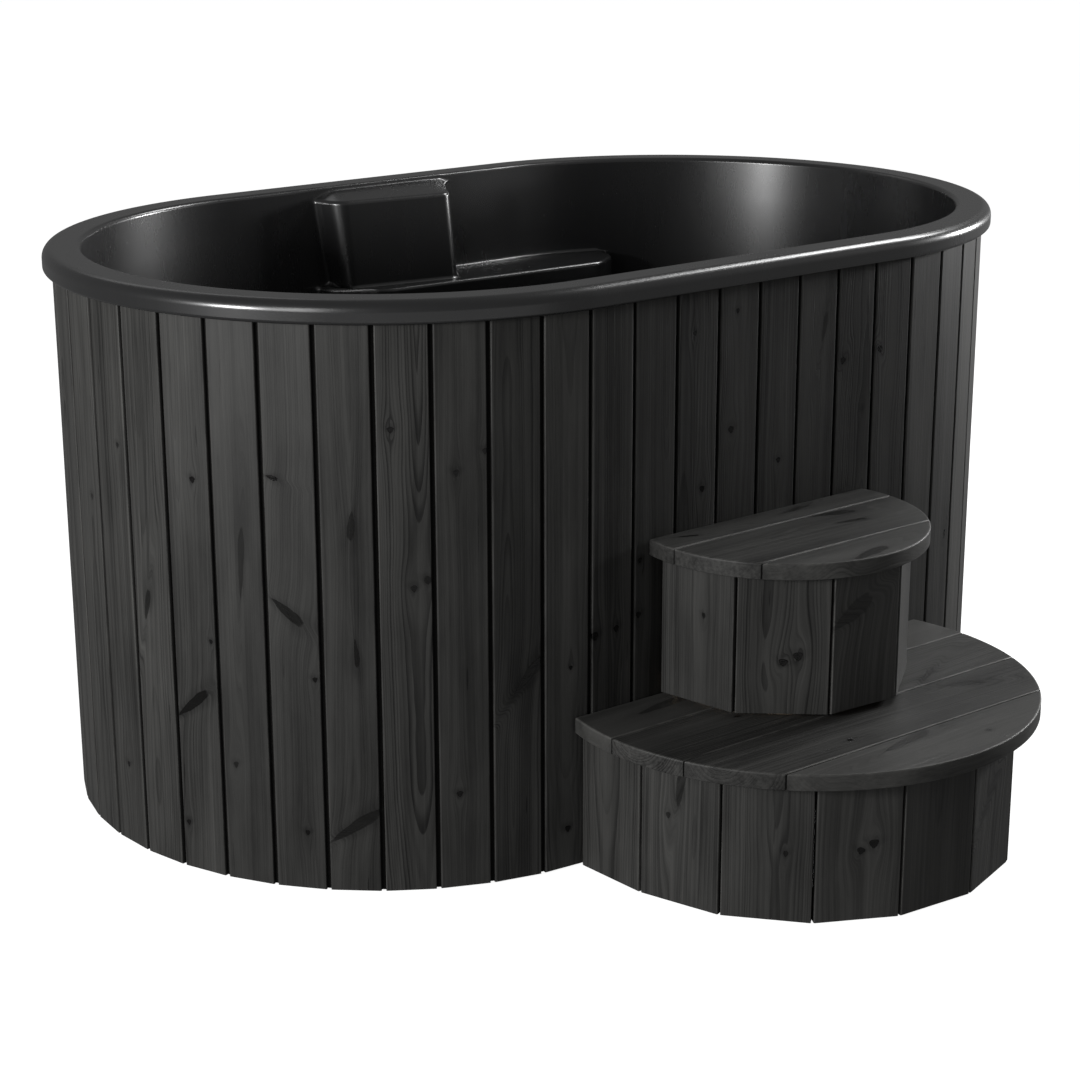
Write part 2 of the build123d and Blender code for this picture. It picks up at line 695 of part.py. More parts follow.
BY = BALL_Y
with BuildPart() as valve_body:
    # barrel with a bead at each socket
    with BuildSketch(Plane.XY.offset(PIPE_Z)):
        with BuildLine():
            Polyline((DX, BY - 50), (DX + 31, BY - 50), (DX + 31, BY - 36), (DX + 37, BY - 30),
                     (DX + 37, BY + 30), (DX + 31, BY + 36), (DX + 31, BY + 50), (DX, BY + 50), close=True)
        make_face()
    revolve(axis=Axis((DX, 0, PIPE_Z), (0, 1, 0)))
    # bonnet for the stem
    with BuildSketch(Plane.XY.offset(PIPE_Z)):
        with Locations((DX, BY)):
            Circle(12.0)
    extrude(amount=48.0)
    # bore, ball chamber, pipe sockets, stem hole
    with BuildSketch(Plane.XZ.offset(-(BY - 60))):
        with Locations((DX, PIPE_Z)):
            Circle(19.0)
    extrude(amount=-120.0, mode=Mode.SUBTRACT)
    with BuildSketch(Plane.XZ.offset(-(BY - 24))):
        with Locations((DX, PIPE_Z)):
            Circle(26.5)
    extrude(amount=-48.0, mode=Mode.SUBTRACT)
    with BuildSketch(Plane.XZ.offset(-(BY - 60))):
        with Locations((DX, PIPE_Z)):
            Circle(25.0)
    extrude(amount=-30.0, mode=Mode.SUBTRACT)
    with BuildSketch(Plane.XZ.offset(-(BY + 30))):
        with Locations((DX, PIPE_Z)):
            Circle(25.0)
    extrude(amount=-30.0, mode=Mode.SUBTRACT)
    with BuildSketch(Plane.XY.offset(PIPE_Z + 20)):
        with Locations((DX, BY)):
            Circle(5.05)
    extrude(amount=40.0, mode=Mode.SUBTRACT)
finish(valve_body.part, "valve_body")

with BuildPart() as valve_seats:
    # two ring seats that the ball turns against
    with BuildSketch(Plane.XZ.offset(-(BY - 24))):
        with Locations((DX, PIPE_Z)):
            Circle(26.5)
            Circle(19.0, mode=Mode.SUBTRACT)
    extrude(amount=-10.0)
    with BuildSketch(Plane.XZ.offset(-(BY + 14))):
        with Locations((DX, PIPE_Z)):
            Circle(26.5)
            Circle(19.0, mode=Mode.SUBTRACT)
    extrude(amount=-10.0)
    with Locations((DX, BY, PIPE_Z)):
        Sphere(25.05, mode=Mode.SUBTRACT)
finish(valve_seats.part, "valve_seats")

with BuildPart() as valve_ball:
    # shut at rest: its bore lies across the pipe
    with Locations((DX, BY, PIPE_Z)):
        Sphere(25.0)
    with BuildSketch(Plane.YZ.offset(DX - 30)):
        with Locations((BY, PIPE_Z)):
            Circle(17.0)
    extrude(amount=60.0, mode=Mode.SUBTRACT)
    with BuildSketch(Plane.XY.offset(PIPE_Z + 20.5)):
        with Locations((DX, BY)):
            Rectangle(40.0, 5.0)
    extrude(amount=10.0, mode=Mode.SUBTRACT)
finish(valve_ball.part, "valve_ball")

STEM_TOP = PIPE_Z + 66.0
with BuildPart() as valve_stem:
    with BuildSketch(Plane.XY.offset(PIPE_Z + 25.2)):
        with Locations((DX, BY)):
            Circle(5.0)
    extrude(amount=STEM_TOP - PIPE_Z - 25.2)
    with BuildSketch(Plane.XY.offset(PIPE_Z + 20.5)):
        with Locations((DX, BY)):
            Rectangle(9.0, 4.8)
    extrude(amount=4.7)
    # flats that drive the lever
    with BuildSketch(Plane.XY.offset(PIPE_Z + 53)):
        with Locations((DX, BY + 5.6), (DX, BY - 5.6)):
            Rectangle(14.0, 4.0)
    extrude(amount=20.0, mode=Mode.SUBTRACT)
finish(valve_stem.part, "valve_stem")

with BuildPart() as gland_nut:
    with BuildSketch(Plane.XY.offset(PIPE_Z + 48.0)):
        with Locations((DX, BY)):
            RegularPolygon(radius=10.5, side_count=6)
            Circle(5.06, mode=Mode.SUBTRACT)
    extrude(amount=4.5)
finish(gland_nut.part, "gland_nut")

LEVER_Z = PIPE_Z + 53.2
with BuildPart() as valve_lever:
    # flat steel lever: hub over the stem, cranked up to clear the body
    with BuildSketch(Plane.XY.offset(LEVER_Z)):
        with Locations((DX, BY)):
            Circle(13.0)
        with Locations((DX - 20.0, BY)):
            Rectangle(40.0, 18.0)
        with Locations((DX, BY)):
            Rectangle(10.2, 7.3, mode=Mode.SUBTRACT)
    extrude(amount=3.0)
    with BuildSketch(Plane.XZ.offset(-(BY - 9))):
        with BuildLine():
            Polyline((DX - 38, LEVER_Z), (DX - 56, LEVER_Z + 12), (DX - 128, LEVER_Z + 12),
                     (DX - 128, LEVER_Z + 15), (DX - 57, LEVER_Z + 15), (DX - 39, LEVER_Z + 3), close=True)
        make_face()
    extrude(amount=-18.0)
finish(valve_lever.part, "valve_lever")

with BuildPart() as lever_sleeve:
    # dipped plastic grip on the lever's outer half
    with BuildSketch(Plane.YZ.offset(DX - 132)):
        with Locations((BY, LEVER_Z + 13.5)):
            RectangleRounded(24.0, 9.0, 4.0)
    extrude(amount=66.0)
    fillet(lever_sleeve.faces().sort_by(Axis.X)[0].edges(), 2.5)
    with BuildSketch(Plane.YZ.offset(DX - 128)):
        with Locations((BY, LEVER_Z + 13.5)):
            Rectangle(18.0, 3.0)
    extrude(amount=80.0, mode=Mode.SUBTRACT)
finish(lever_sleeve.part, "lever_sleeve")

with BuildPart() as lever_nut:
    with BuildSketch(Plane.XY.offset(LEVER_Z + 3.0)):
        with Locations((DX, BY)):
            RegularPolygon(radius=8.0, side_count=6)
            Circle(5.1, mode=Mode.SUBTRACT)
    extrude(amount=5.0)
finish(lever_nut.part, "lever_nut")

HOSE_Y0, HOSE_Y1 = BY + 30.0, BY + 96.0
with BuildPart() as hose_tail:
    # spigot in the valve's outlet socket, then a shoulder and a plain hose stub
    with BuildSketch(Plane.XZ.offset(-HOSE_Y0)):
        with Locations((DX, PIPE_Z)):
            Circle(25.0)
    extrude(amount=-20.0)
    with BuildSketch(Plane.XZ.offset(-(HOSE_Y0 + 20.0))):
        with Locations((DX, PIPE_Z)):
            Circle(28.0)
    extrude(amount=-6.0)
    with BuildSketch(Plane.XZ.offset(-(HOSE_Y0 + 26.0))):
        with Locations((DX, PIPE_Z)):
            Circle(19.0)
    extrude(amount=-(HOSE_Y1 - HOSE_Y0 - 26.0))
    with BuildSketch(Plane.XZ.offset(-HOSE_Y0)):
        with Locations((DX, PIPE_Z)):
            Circle(16.0)
    extrude(amount=-100.0, mode=Mode.SUBTRACT)
finish(hose_tail.part, "hose_tail")

# ---------------------------------------------------------------- step unit
LOW_BOARDS = [(STEP_BACK, LOW_SEAMS[0]), (LOW_SEAMS[0], LOW_SEAMS[1]),
              (LOW_SEAMS[1], LOW_SEAMS[2]), (LOW_SEAMS[2], LOW_C[1] - LOW_TREAD_R - 5)]
UP_BOARDS = [(STEP_BACK, UP_SEAMS[0]), (UP_SEAMS[0], UP_SEAMS[1]),
             (UP_SEAMS[1], UP_C[1] - UP_TREAD_R - 5)]
EDGE_R = 2.5

# screws come up from below through the top plates: (x, y) of each
LOW_SCREWS = [(-280, -640), (-120, -640), (150, -640), (310, -640),
              (-290, -770), (330, -770), (-250, -905), (-130, -965), (175, -965), (290, -905),
              (-85, -1005), (105, -1022)]
UP_SCREWS = [(-140, -625), (185, -625), (-135, -725), (172, -742), (-40, -812), (84, -814)]


def board_band(y_back, y_front, i, n):
    """Edges of one tread board, with half a seam taken off each joint."""
    yb = y_back - (0 if i == 0 else SEAM / 2)
    yf = y_front + (0 if i == n - 1 else SEAM / 2)
    return yb, yf


with BuildPart() as lower_tread_board_1:
    yb, yf = board_band(*LOW_BOARDS[0], 0, 4)
    with BuildSketch(Plane.XY.offset(LOW_TOP - TREAD_T)):
        with Locations(LOW_C):
            Circle(LOW_TREAD_R)
        with Locations((LOW_C[0], (yb + yf) / 2)):
            Rectangle(1000, yb - yf, mode=Mode.INTERSECT)
    extrude(amount=TREAD_T)
    fillet(lower_tread_board_1.edges().group_by(Axis.Z)[-1], EDGE_R)
    with BuildSketch(Plane.XY.offset(LOW_TOP - TREAD_T)):
        with Locations(*[p for p in LOW_SCREWS if yf < p[1] < yb]):
            Circle(2.25)
    extrude(amount=20.0, mode=Mode.SUBTRACT)
finish(lower_tread_board_1.part, "lower_tread_board_1")

with BuildPart() as lower_tread_board_2:
    yb, yf = board_band(*LOW_BOARDS[1], 1, 4)
    with BuildSketch(Plane.XY.offset(LOW_TOP - TREAD_T)):
        with Locations(LOW_C):
            Circle(LOW_TREAD_R)
        with Locations((LOW_C[0], (yb + yf) / 2)):
            Rectangle(1000, yb - yf, mode=Mode.INTERSECT)
    extrude(amount=TREAD_T)
    fillet(lower_tread_board_2.edges().group_by(Axis.Z)[-1], EDGE_R)
    with BuildSketch(Plane.XY.offset(LOW_TOP - TREAD_T)):
        with Locations(*[p for p in LOW_SCREWS if yf < p[1] < yb]):
            Circle(2.25)
    extrude(amount=20.0, mode=Mode.SUBTRACT)
finish(lower_tread_board_2.part, "lower_tread_board_2")

with BuildPart() as lower_tread_board_3:
    yb, yf = board_band(*LOW_BOARDS[2], 2, 4)
    with BuildSketch(Plane.XY.offset(LOW_TOP - TREAD_T)):
        with Locations(LOW_C):
            Circle(LOW_TREAD_R)
        with Locations((LOW_C[0], (yb + yf) / 2)):
            Rectangle(1000, yb - yf, mode=Mode.INTERSECT)
    extrude(amount=TREAD_T)
    fillet(lower_tread_board_3.edges().group_by(Axis.Z)[-1], EDGE_R)
    with BuildSketch(Plane.XY.offset(LOW_TOP - TREAD_T)):
        with Locations(*[p for p in LOW_SCREWS if yf < p[1] < yb]):
            Circle(2.25)
    extrude(amount=20.0, mode=Mode.SUBTRACT)
finish(lower_tread_board_3.part, "lower_tread_board_3")

with BuildPart() as lower_tread_board_4:
    yb, yf = board_band(*LOW_BOARDS[3], 3, 4)
    with BuildSketch(Plane.XY.offset(LOW_TOP - TREAD_T)):
        with Locations(LOW_C):
            Circle(LOW_TREAD_R)
        with Locations((LOW_C[0], (yb + yf) / 2)):
            Rectangle(1000, yb - yf, mode=Mode.INTERSECT)
    extrude(amount=TREAD_T)
    fillet(lower_tread_board_4.edges().group_by(Axis.Z)[-1], EDGE_R)
    with BuildSketch(Plane.XY.offset(LOW_TOP - TREAD_T)):
        with Locations(*[p for p in LOW_SCREWS if yf < p[1] < yb]):
            Circle(2.25)
    extrude(amount=20.0, mode=Mode.SUBTRACT)
finish(lower_tread_board_4.part, "lower_tread_board_4")

with BuildPart() as upper_tread_board_1:
    yb, yf = board_band(*UP_BOARDS[0], 0, 3)
    with BuildSketch(Plane.XY.offset(UP_TOP - TREAD_T)):
        with Locations(UP_C):
            Circle(UP_TREAD_R)
        with Locations((UP_C[0], (yb + yf) / 2)):
            Rectangle(1000, yb - yf, mode=Mode.INTERSECT)
    extrude(amount=TREAD_T)
    fillet(upper_tread_board_1.edges().group_by(Axis.Z)[-1], EDGE_R)
    with BuildSketch(Plane.XY.offset(UP_TOP - TREAD_T)):
        with Locations(*[p for p in UP_SCREWS if yf < p[1] < yb]):
            Circle(2.25)
    extrude(amount=20.0, mode=Mode.SUBTRACT)
finish(upper_tread_board_1.part, "upper_tread_board_1")

with BuildPart() as upper_tread_board_2:
    yb, yf = board_band(*UP_BOARDS[1], 1, 3)
    with BuildSketch(Plane.XY.offset(UP_TOP - TREAD_T)):
        with Locations(UP_C):
            Circle(UP_TREAD_R)
        with Locations((UP_C[0], (yb + yf) / 2)):
            Rectangle(1000, yb - yf, mode=Mode.INTERSECT)
    extrude(amount=TREAD_T)
    fillet(upper_tread_board_2.edges().group_by(Axis.Z)[-1], EDGE_R)
    with BuildSketch(Plane.XY.offset(UP_TOP - TREAD_T)):
        with Locations(*[p for p in UP_SCREWS if yf < p[1] < yb]):
            Circle(2.25)
    extrude(amount=20.0, mode=Mode.SUBTRACT)
finish(upper_tread_board_2.part, "upper_tread_board_2")

with BuildPart() as upper_tread_board_3:
    yb, yf = board_band(*UP_BOARDS[2], 2, 3)
    with BuildSketch(Plane.XY.offset(UP_TOP - TREAD_T)):
        with Locations(UP_C):
            Circle(UP_TREAD_R)
        with Locations((UP_C[0], (yb + yf) / 2)):
            Rectangle(1000, yb - yf, mode=Mode.INTERSECT)
    extrude(amount=TREAD_T)
    fillet(upper_tread_board_3.edges().group_by(Axis.Z)[-1], EDGE_R)
    with BuildSketch(Plane.XY.offset(UP_TOP - TREAD_T)):
        with Locations(*[p for p in UP_SCREWS if yf < p[1] < yb]):
            Circle(2.25)
    extrude(amount=20.0, mode=Mode.SUBTRACT)
finish(upper_tread_board_3.part, "upper_tread_board_3")

# skirt boards stand upright round each tier
low_pts = [(-368.5, STEP_BACK)] + [circ_pt(LOW_C, LOW_SKIRT_R, a) for a in LOW_SKIRT_ANG] + [(402.0, STEP_BACK)]
up_pts = list(UP_SKIRT_PTS)

with BuildPart() as lower_skirt_boards:
    with BuildSketch(Plane.XY.offset(2.0)):
        for plan in skirt_plans(low_pts, SKIRT_T, 5.4, 0.6):
            with BuildLine():
                Polyline(*plan, close=True)
            make_face()
    extrude(amount=LOW_TOP - TREAD_T - 2.0)
finish(lower_skirt_boards.part, "lower_skirt_boards")

with BuildPart() as upper_skirt_boards:
    with BuildSketch(Plane.XY.offset(UP_SKIRT_Z0)):
        for plan in skirt_plans(up_pts, SKIRT_T, 6.6, 0.6):
            with BuildLine():
                Polyline(*plan, close=True)
            make_face()
    extrude(amount=UP_TOP - TREAD_T - UP_SKIRT_Z0)
finish(upper_skirt_boards.part, "upper_skirt_boards")

# D-shaped plates: round front inside the skirt, straight back
LOW_PLATE_R = LOW_SKIRT_R * math.cos(math.radians(11.5)) - SKIRT_T - 0.5
UP_PLATE_R = 199.0
PLATE_BACK = STEP_BACK - 2.0

with BuildPart() as lower_base_plate:
    with BuildSketch(Plane.XY):
        with Locations(LOW_C):
            Circle(LOW_PLATE_R)
        with Locations((LOW_C[0], PLATE_BACK - 400)):
            Rectangle(1000, 800, mode=Mode.INTERSECT)
        with Locations(LOW_C):
            Circle(LOW_PLATE_R - 75, mode=Mode.SUBTRACT)
        with Locations((LOW_C[0], PLATE_BACK - 35)):
            Rectangle(2 * LOW_PLATE_R - 60, 70)
    extrude(amount=PLATE_T)
finish(lower_base_plate.part, "lower_base_plate")

with BuildPart() as lower_top_plate:
    with BuildSketch(Plane.XY.offset(LOW_TOP - TREAD_T - PLATE_T)):
        with Locations(LOW_C):
            Circle(LOW_PLATE_R)
        with Locations((LOW_C[0], PLATE_BACK - 400)):
            Rectangle(1000, 800, mode=Mode.INTERSECT)
        with Locations(LOW_C):
            Circle(LOW_PLATE_R - 75, mode=Mode.SUBTRACT)
        with Locations((LOW_C[0], PLATE_BACK - 35)):
            Rectangle(2 * LOW_PLATE_R - 60, 70)
        with Locations(*LOW_SCREWS):
            Circle(2.25, mode=Mode.SUBTRACT)
    extrude(amount=PLATE_T)
finish(lower_top_plate.part, "lower_top_plate")

with BuildPart() as upper_base_plate:
    with BuildSketch(Plane.XY.offset(LOW_TOP)):
        with Locations(UP_C):
            Circle(UP_PLATE_R)
        with Locations((UP_C[0], PLATE_BACK - 400)):
            Rectangle(1000, 800, mode=Mode.INTERSECT)
        with Locations(UP_C):
            Circle(UP_PLATE_R - 60, mode=Mode.SUBTRACT)
        with Locations((UP_C[0], PLATE_BACK - 30)):
            Rectangle(2 * UP_PLATE_R - 50, 60)
    extrude(amount=PLATE_T)
finish(upper_base_plate.part, "upper_base_plate")

with BuildPart() as upper_top_plate:
    with BuildSketch(Plane.XY.offset(UP_TOP - TREAD_T - PLATE_T)):
        with Locations(UP_C):
            Circle(UP_PLATE_R)
        with Locations((UP_C[0], PLATE_BACK - 400)):
            Rectangle(1000, 800, mode=Mode.INTERSECT)
        with Locations(UP_C):
            Circle(UP_PLATE_R - 60, mode=Mode.SUBTRACT)
        with Locations((UP_C[0], PLATE_BACK - 30)):
            Rectangle(2 * UP_PLATE_R - 50, 60)
        with Locations(*UP_SCREWS):
            Circle(2.25, mode=Mode.SUBTRACT)
    extrude(amount=PLATE_T)
finish(upper_top_plate.part, "upper_top_plate")

LOW_POSTS = [circ_pt(LOW_C, 322.0, a) for a in (-82, -48, -10, 40, 66, 90)] + [(-60, -620), (100, -620)]
UP_POSTS = [circ_pt(UP_C, 172.0, a) for a in (-75, -42, -5, 32, 72)] + [(-100, -618), (145, -618)]

with BuildPart() as lower_posts:
    with BuildSketch(Plane.XY.offset(PLATE_T)):
        with Locations(*LOW_POSTS):
            Rectangle(45.0, 45.0)
    extrude(amount=LOW_TOP - TREAD_T - 2 * PLATE_T)
finish(lower_posts.part, "lower_posts")

with BuildPart() as upper_posts:
    with BuildSketch(Plane.XY.offset(LOW_TOP + PLATE_T)):
        with Locations(*UP_POSTS):
            Rectangle(34.0, 34.0)
    extrude(amount=UP_TOP - TREAD_T - 2 * PLATE_T - LOW_TOP)
finish(upper_posts.part, "upper_posts")

with BuildPart() as lower_tread_screws:
    with BuildSketch(Plane.XY.offset(LOW_TOP - TREAD_T - PLATE_T)):
        with Locations(*LOW_SCREWS):
            Circle(2.25)
    extrude(amount=PLATE_T + 19.0)
    with BuildSketch(Plane.XY.offset(LOW_TOP - TREAD_T - PLATE_T)):
        with Locations(*LOW_SCREWS):
            Circle(4.8)
    extrude(amount=-2.8, taper=12)
finish(lower_tread_screws.part, "lower_tread_screws")

with BuildPart() as upper_tread_screws:
    with BuildSketch(Plane.XY.offset(UP_TOP - TREAD_T - PLATE_T)):
        with Locations(*UP_SCREWS):
            Circle(2.25)
    extrude(amount=PLATE_T + 19.0)
    with BuildSketch(Plane.XY.offset(UP_TOP - TREAD_T - PLATE_T)):
        with Locations(*UP_SCREWS):
            Circle(4.8)
    extrude(amount=-2.8, taper=12)
finish(upper_tread_screws.part, "upper_tread_screws")
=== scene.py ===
import json
import math

import bpy
import numpy as np
from mathutils import Matrix, Vector, noise
from mathutils.geometry import delaunay_2d_cdt


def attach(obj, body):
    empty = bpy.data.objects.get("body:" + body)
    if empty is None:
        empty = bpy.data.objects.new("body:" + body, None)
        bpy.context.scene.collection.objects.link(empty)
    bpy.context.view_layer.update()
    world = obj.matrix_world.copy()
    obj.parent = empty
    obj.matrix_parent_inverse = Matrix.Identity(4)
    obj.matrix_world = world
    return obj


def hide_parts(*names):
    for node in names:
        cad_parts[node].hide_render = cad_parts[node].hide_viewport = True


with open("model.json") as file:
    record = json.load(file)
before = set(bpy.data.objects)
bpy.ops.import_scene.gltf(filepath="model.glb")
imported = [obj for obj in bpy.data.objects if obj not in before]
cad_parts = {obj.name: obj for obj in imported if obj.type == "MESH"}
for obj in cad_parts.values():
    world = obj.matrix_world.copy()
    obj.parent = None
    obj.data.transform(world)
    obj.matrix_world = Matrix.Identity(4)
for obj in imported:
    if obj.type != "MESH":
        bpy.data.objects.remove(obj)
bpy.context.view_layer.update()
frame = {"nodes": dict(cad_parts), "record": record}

MM = 0.001

# ------------------------------------------------------------------ sizes (mm)
R0, A0 = 585.2, 339.0                 # casing outline: half circles and straights
PITCH, PHASE = 92.0, -1363.35
T_BOARD, GAP = 18.0, 8.2
RIM_OVER, LIP_Z, TOP_Z = 15.5, 960.0, 998.0
FLOOR_Z = 149.0
SLOPE = 36.0 / 849.0
LEDGE_Z, BLOCK_Z, BLOCK_TOP = 802.0, 974.0, 988.0
LEDGE = [(-152, 585), (-146, 500), (-62, 413), (472, 381), (541, 430), (548, 585)]
LEDGE_R = [30, 60, 52, 46]
BLOCK_FOOT = [(-119, 600), (-121, 510), (-120, 463), (122, 421), (158, 480), (197, 545)]
BLOCK_HEAD = [(-180, 584), (-142, 518), (-124, 476), (118, 441), (150, 497), (187, 562)]
FOOT_R, HEAD_R = [30, 66, 24, 30], [30, 60, 22, 30]
DRAIN = (245.7, 330.0)
STEP_BACK = -587.0
LOW_C, LOW_R, LOW_TOP = (20.2, -690.5), 417.4, 274.0
UP_C, UP_R, UP_TOP = (23.7, -638.5), 254.9, 554.0
TREAD_T, SEAM = 28.0, 2.4
LOW_SEAMS = [-697.0, -841.0, -981.0]
UP_SEAMS = [-654.5, -801.5]
PERIM = 4 * A0 + 2 * math.pi * R0
rng = np.random.default_rng(41)


# ================================================================== node writing
class Tree:
    """Writes shader nodes from plain expressions."""

    def __init__(self, name):
        self.mat = bpy.data.materials.new(name)
        self.mat.use_nodes = True
        self.nt = self.mat.node_tree
        self.nt.nodes.clear()
        self.out = self.nt.nodes.new("ShaderNodeOutputMaterial")
        self.bsdf = self.nt.nodes.new("ShaderNodeBsdfPrincipled")
        self.nt.links.new(self.bsdf.outputs[0], self.out.inputs[0])

    def put(self, sock, val):
        if isinstance(val, E):
            val = val.s
        if isinstance(val, bpy.types.NodeSocket):
            self.nt.links.new(val, sock)
        else:
            sock.default_value = val

    def math(self, op, *a, clamp=False):
        n = self.nt.nodes.new("ShaderNodeMath")
        n.operation = op
        n.use_clamp = clamp
        for i, x in enumerate(a):
            self.put(n.inputs[i], x)
        return E(self, n.outputs[0])

    def attr(self, name):
        n = self.nt.nodes.new("ShaderNodeAttribute")
        n.attribute_name = name
        return self.split(n.outputs["Vector"])

    def coords(self):
        n = self.nt.nodes.new("ShaderNodeTexCoord")
        return self.split(n.outputs["Object"])

    def split(self, sock):
        n = self.nt.nodes.new("ShaderNodeSeparateXYZ")
        self.nt.links.new(sock, n.inputs[0])
        return [E(self, n.outputs[i]) for i in range(3)]

    def vec(self, x, y, z):
        n = self.nt.nodes.new("ShaderNodeCombineXYZ")
        for i, v in enumerate((x, y, z)):
            self.put(n.inputs[i], v)
        return n.outputs[0]

    def noise(self, x, y, z, detail=2.0, rough=0.5, dist=0.0):
        n = self.nt.nodes.new("ShaderNodeTexNoise")
        n.inputs["Scale"].default_value = 1.0
        n.inputs["Detail"].default_value = detail
        n.inputs["Roughness"].default_value = rough
        n.inputs["Distortion"].default_value = dist
        self.nt.links.new(self.vec(x, y, z), n.inputs["Vector"])
        return E(self, n.outputs[0])

    def voronoi(self, x, y, z, feature="F1"):
        n = self.nt.nodes.new("ShaderNodeTexVoronoi")
        n.feature = feature
        n.inputs["Scale"].default_value = 1.0
        self.nt.links.new(self.vec(x, y, z), n.inputs["Vector"])
        return E(self, n.outputs[0])

    def step(self, x, lo, hi):
        n = self.nt.nodes.new("ShaderNodeMapRange")
        n.interpolation_type = "SMOOTHSTEP"
        self.put(n.inputs["Value"], x)
        n.inputs["From Min"].default_value = lo
        n.inputs["From Max"].default_value = hi
        return E(self, n.outputs[0])

    def ramp(self, x, stops):
        n = self.nt.nodes.new("ShaderNodeValToRGB")
        cr = n.color_ramp
        cr.elements[0].position, cr.elements[0].color = stops[0][0], (*stops[0][1], 1)
        cr.elements[1].position, cr.elements[1].color = stops[-1][0], (*stops[-1][1], 1)
        for p, c in stops[1:-1]:
            e = cr.elements.new(p)
            e.color = (*c, 1)
        self.put(n.inputs[0], x)
        return n.outputs[0]

    def bump(self, height, distance, strength=1.0, normal=None):
        n = self.nt.nodes.new("ShaderNodeBump")
        n.inputs["Strength"].default_value = strength
        n.inputs["Distance"].default_value = distance
        self.put(n.inputs["Height"], height)
        if normal is not None:
            self.nt.links.new(normal, n.inputs["Normal"])
        return n.outputs[0]

    def set(self, **kw):
        names = {"color": "Base Color", "rough": "Roughness", "metal": "Metallic", "ior": "IOR",
                 "spec": "Specular IOR Level", "normal": "Normal", "coat": "Coat Weight",
                 "coat_rough": "Coat Roughness", "aniso": "Anisotropic", "sheen": "Sheen Weight"}
        for k, v in kw.items():
            self.put(self.bsdf.inputs[names[k]], v)


class E:
    def __init__(self, t, s):
        self.t, self.s = t, s

    def __add__(self, o): return self.t.math("ADD", self, o)
    __radd__ = __add__
    def __sub__(self, o): return self.t.math("SUBTRACT", self, o)
    def __rsub__(self, o): return self.t.math("SUBTRACT", o, self)
    def __mul__(self, o): return self.t.math("MULTIPLY", self, o)
    __rmul__ = __mul__
    def __truediv__(self, o): return self.t.math("DIVIDE", self, o)
    def __rtruediv__(self, o): return self.t.math("DIVIDE", o, self)
    def __pow__(self, o): return self.t.math("POWER", self, o)
    def sqrt(self): return self.t.math("SQRT", self)
    def abs(self): return self.t.math("ABSOLUTE", self)
    def fract(self): return self.t.math("FRACT", self)
    def clamp(self): return self.t.math("ADD", self, 0.0, clamp=True)
    def min(self, o): return self.t.math("MINIMUM", self, o)
    def max(self, o): return self.t.math("MAXIMUM", self, o)


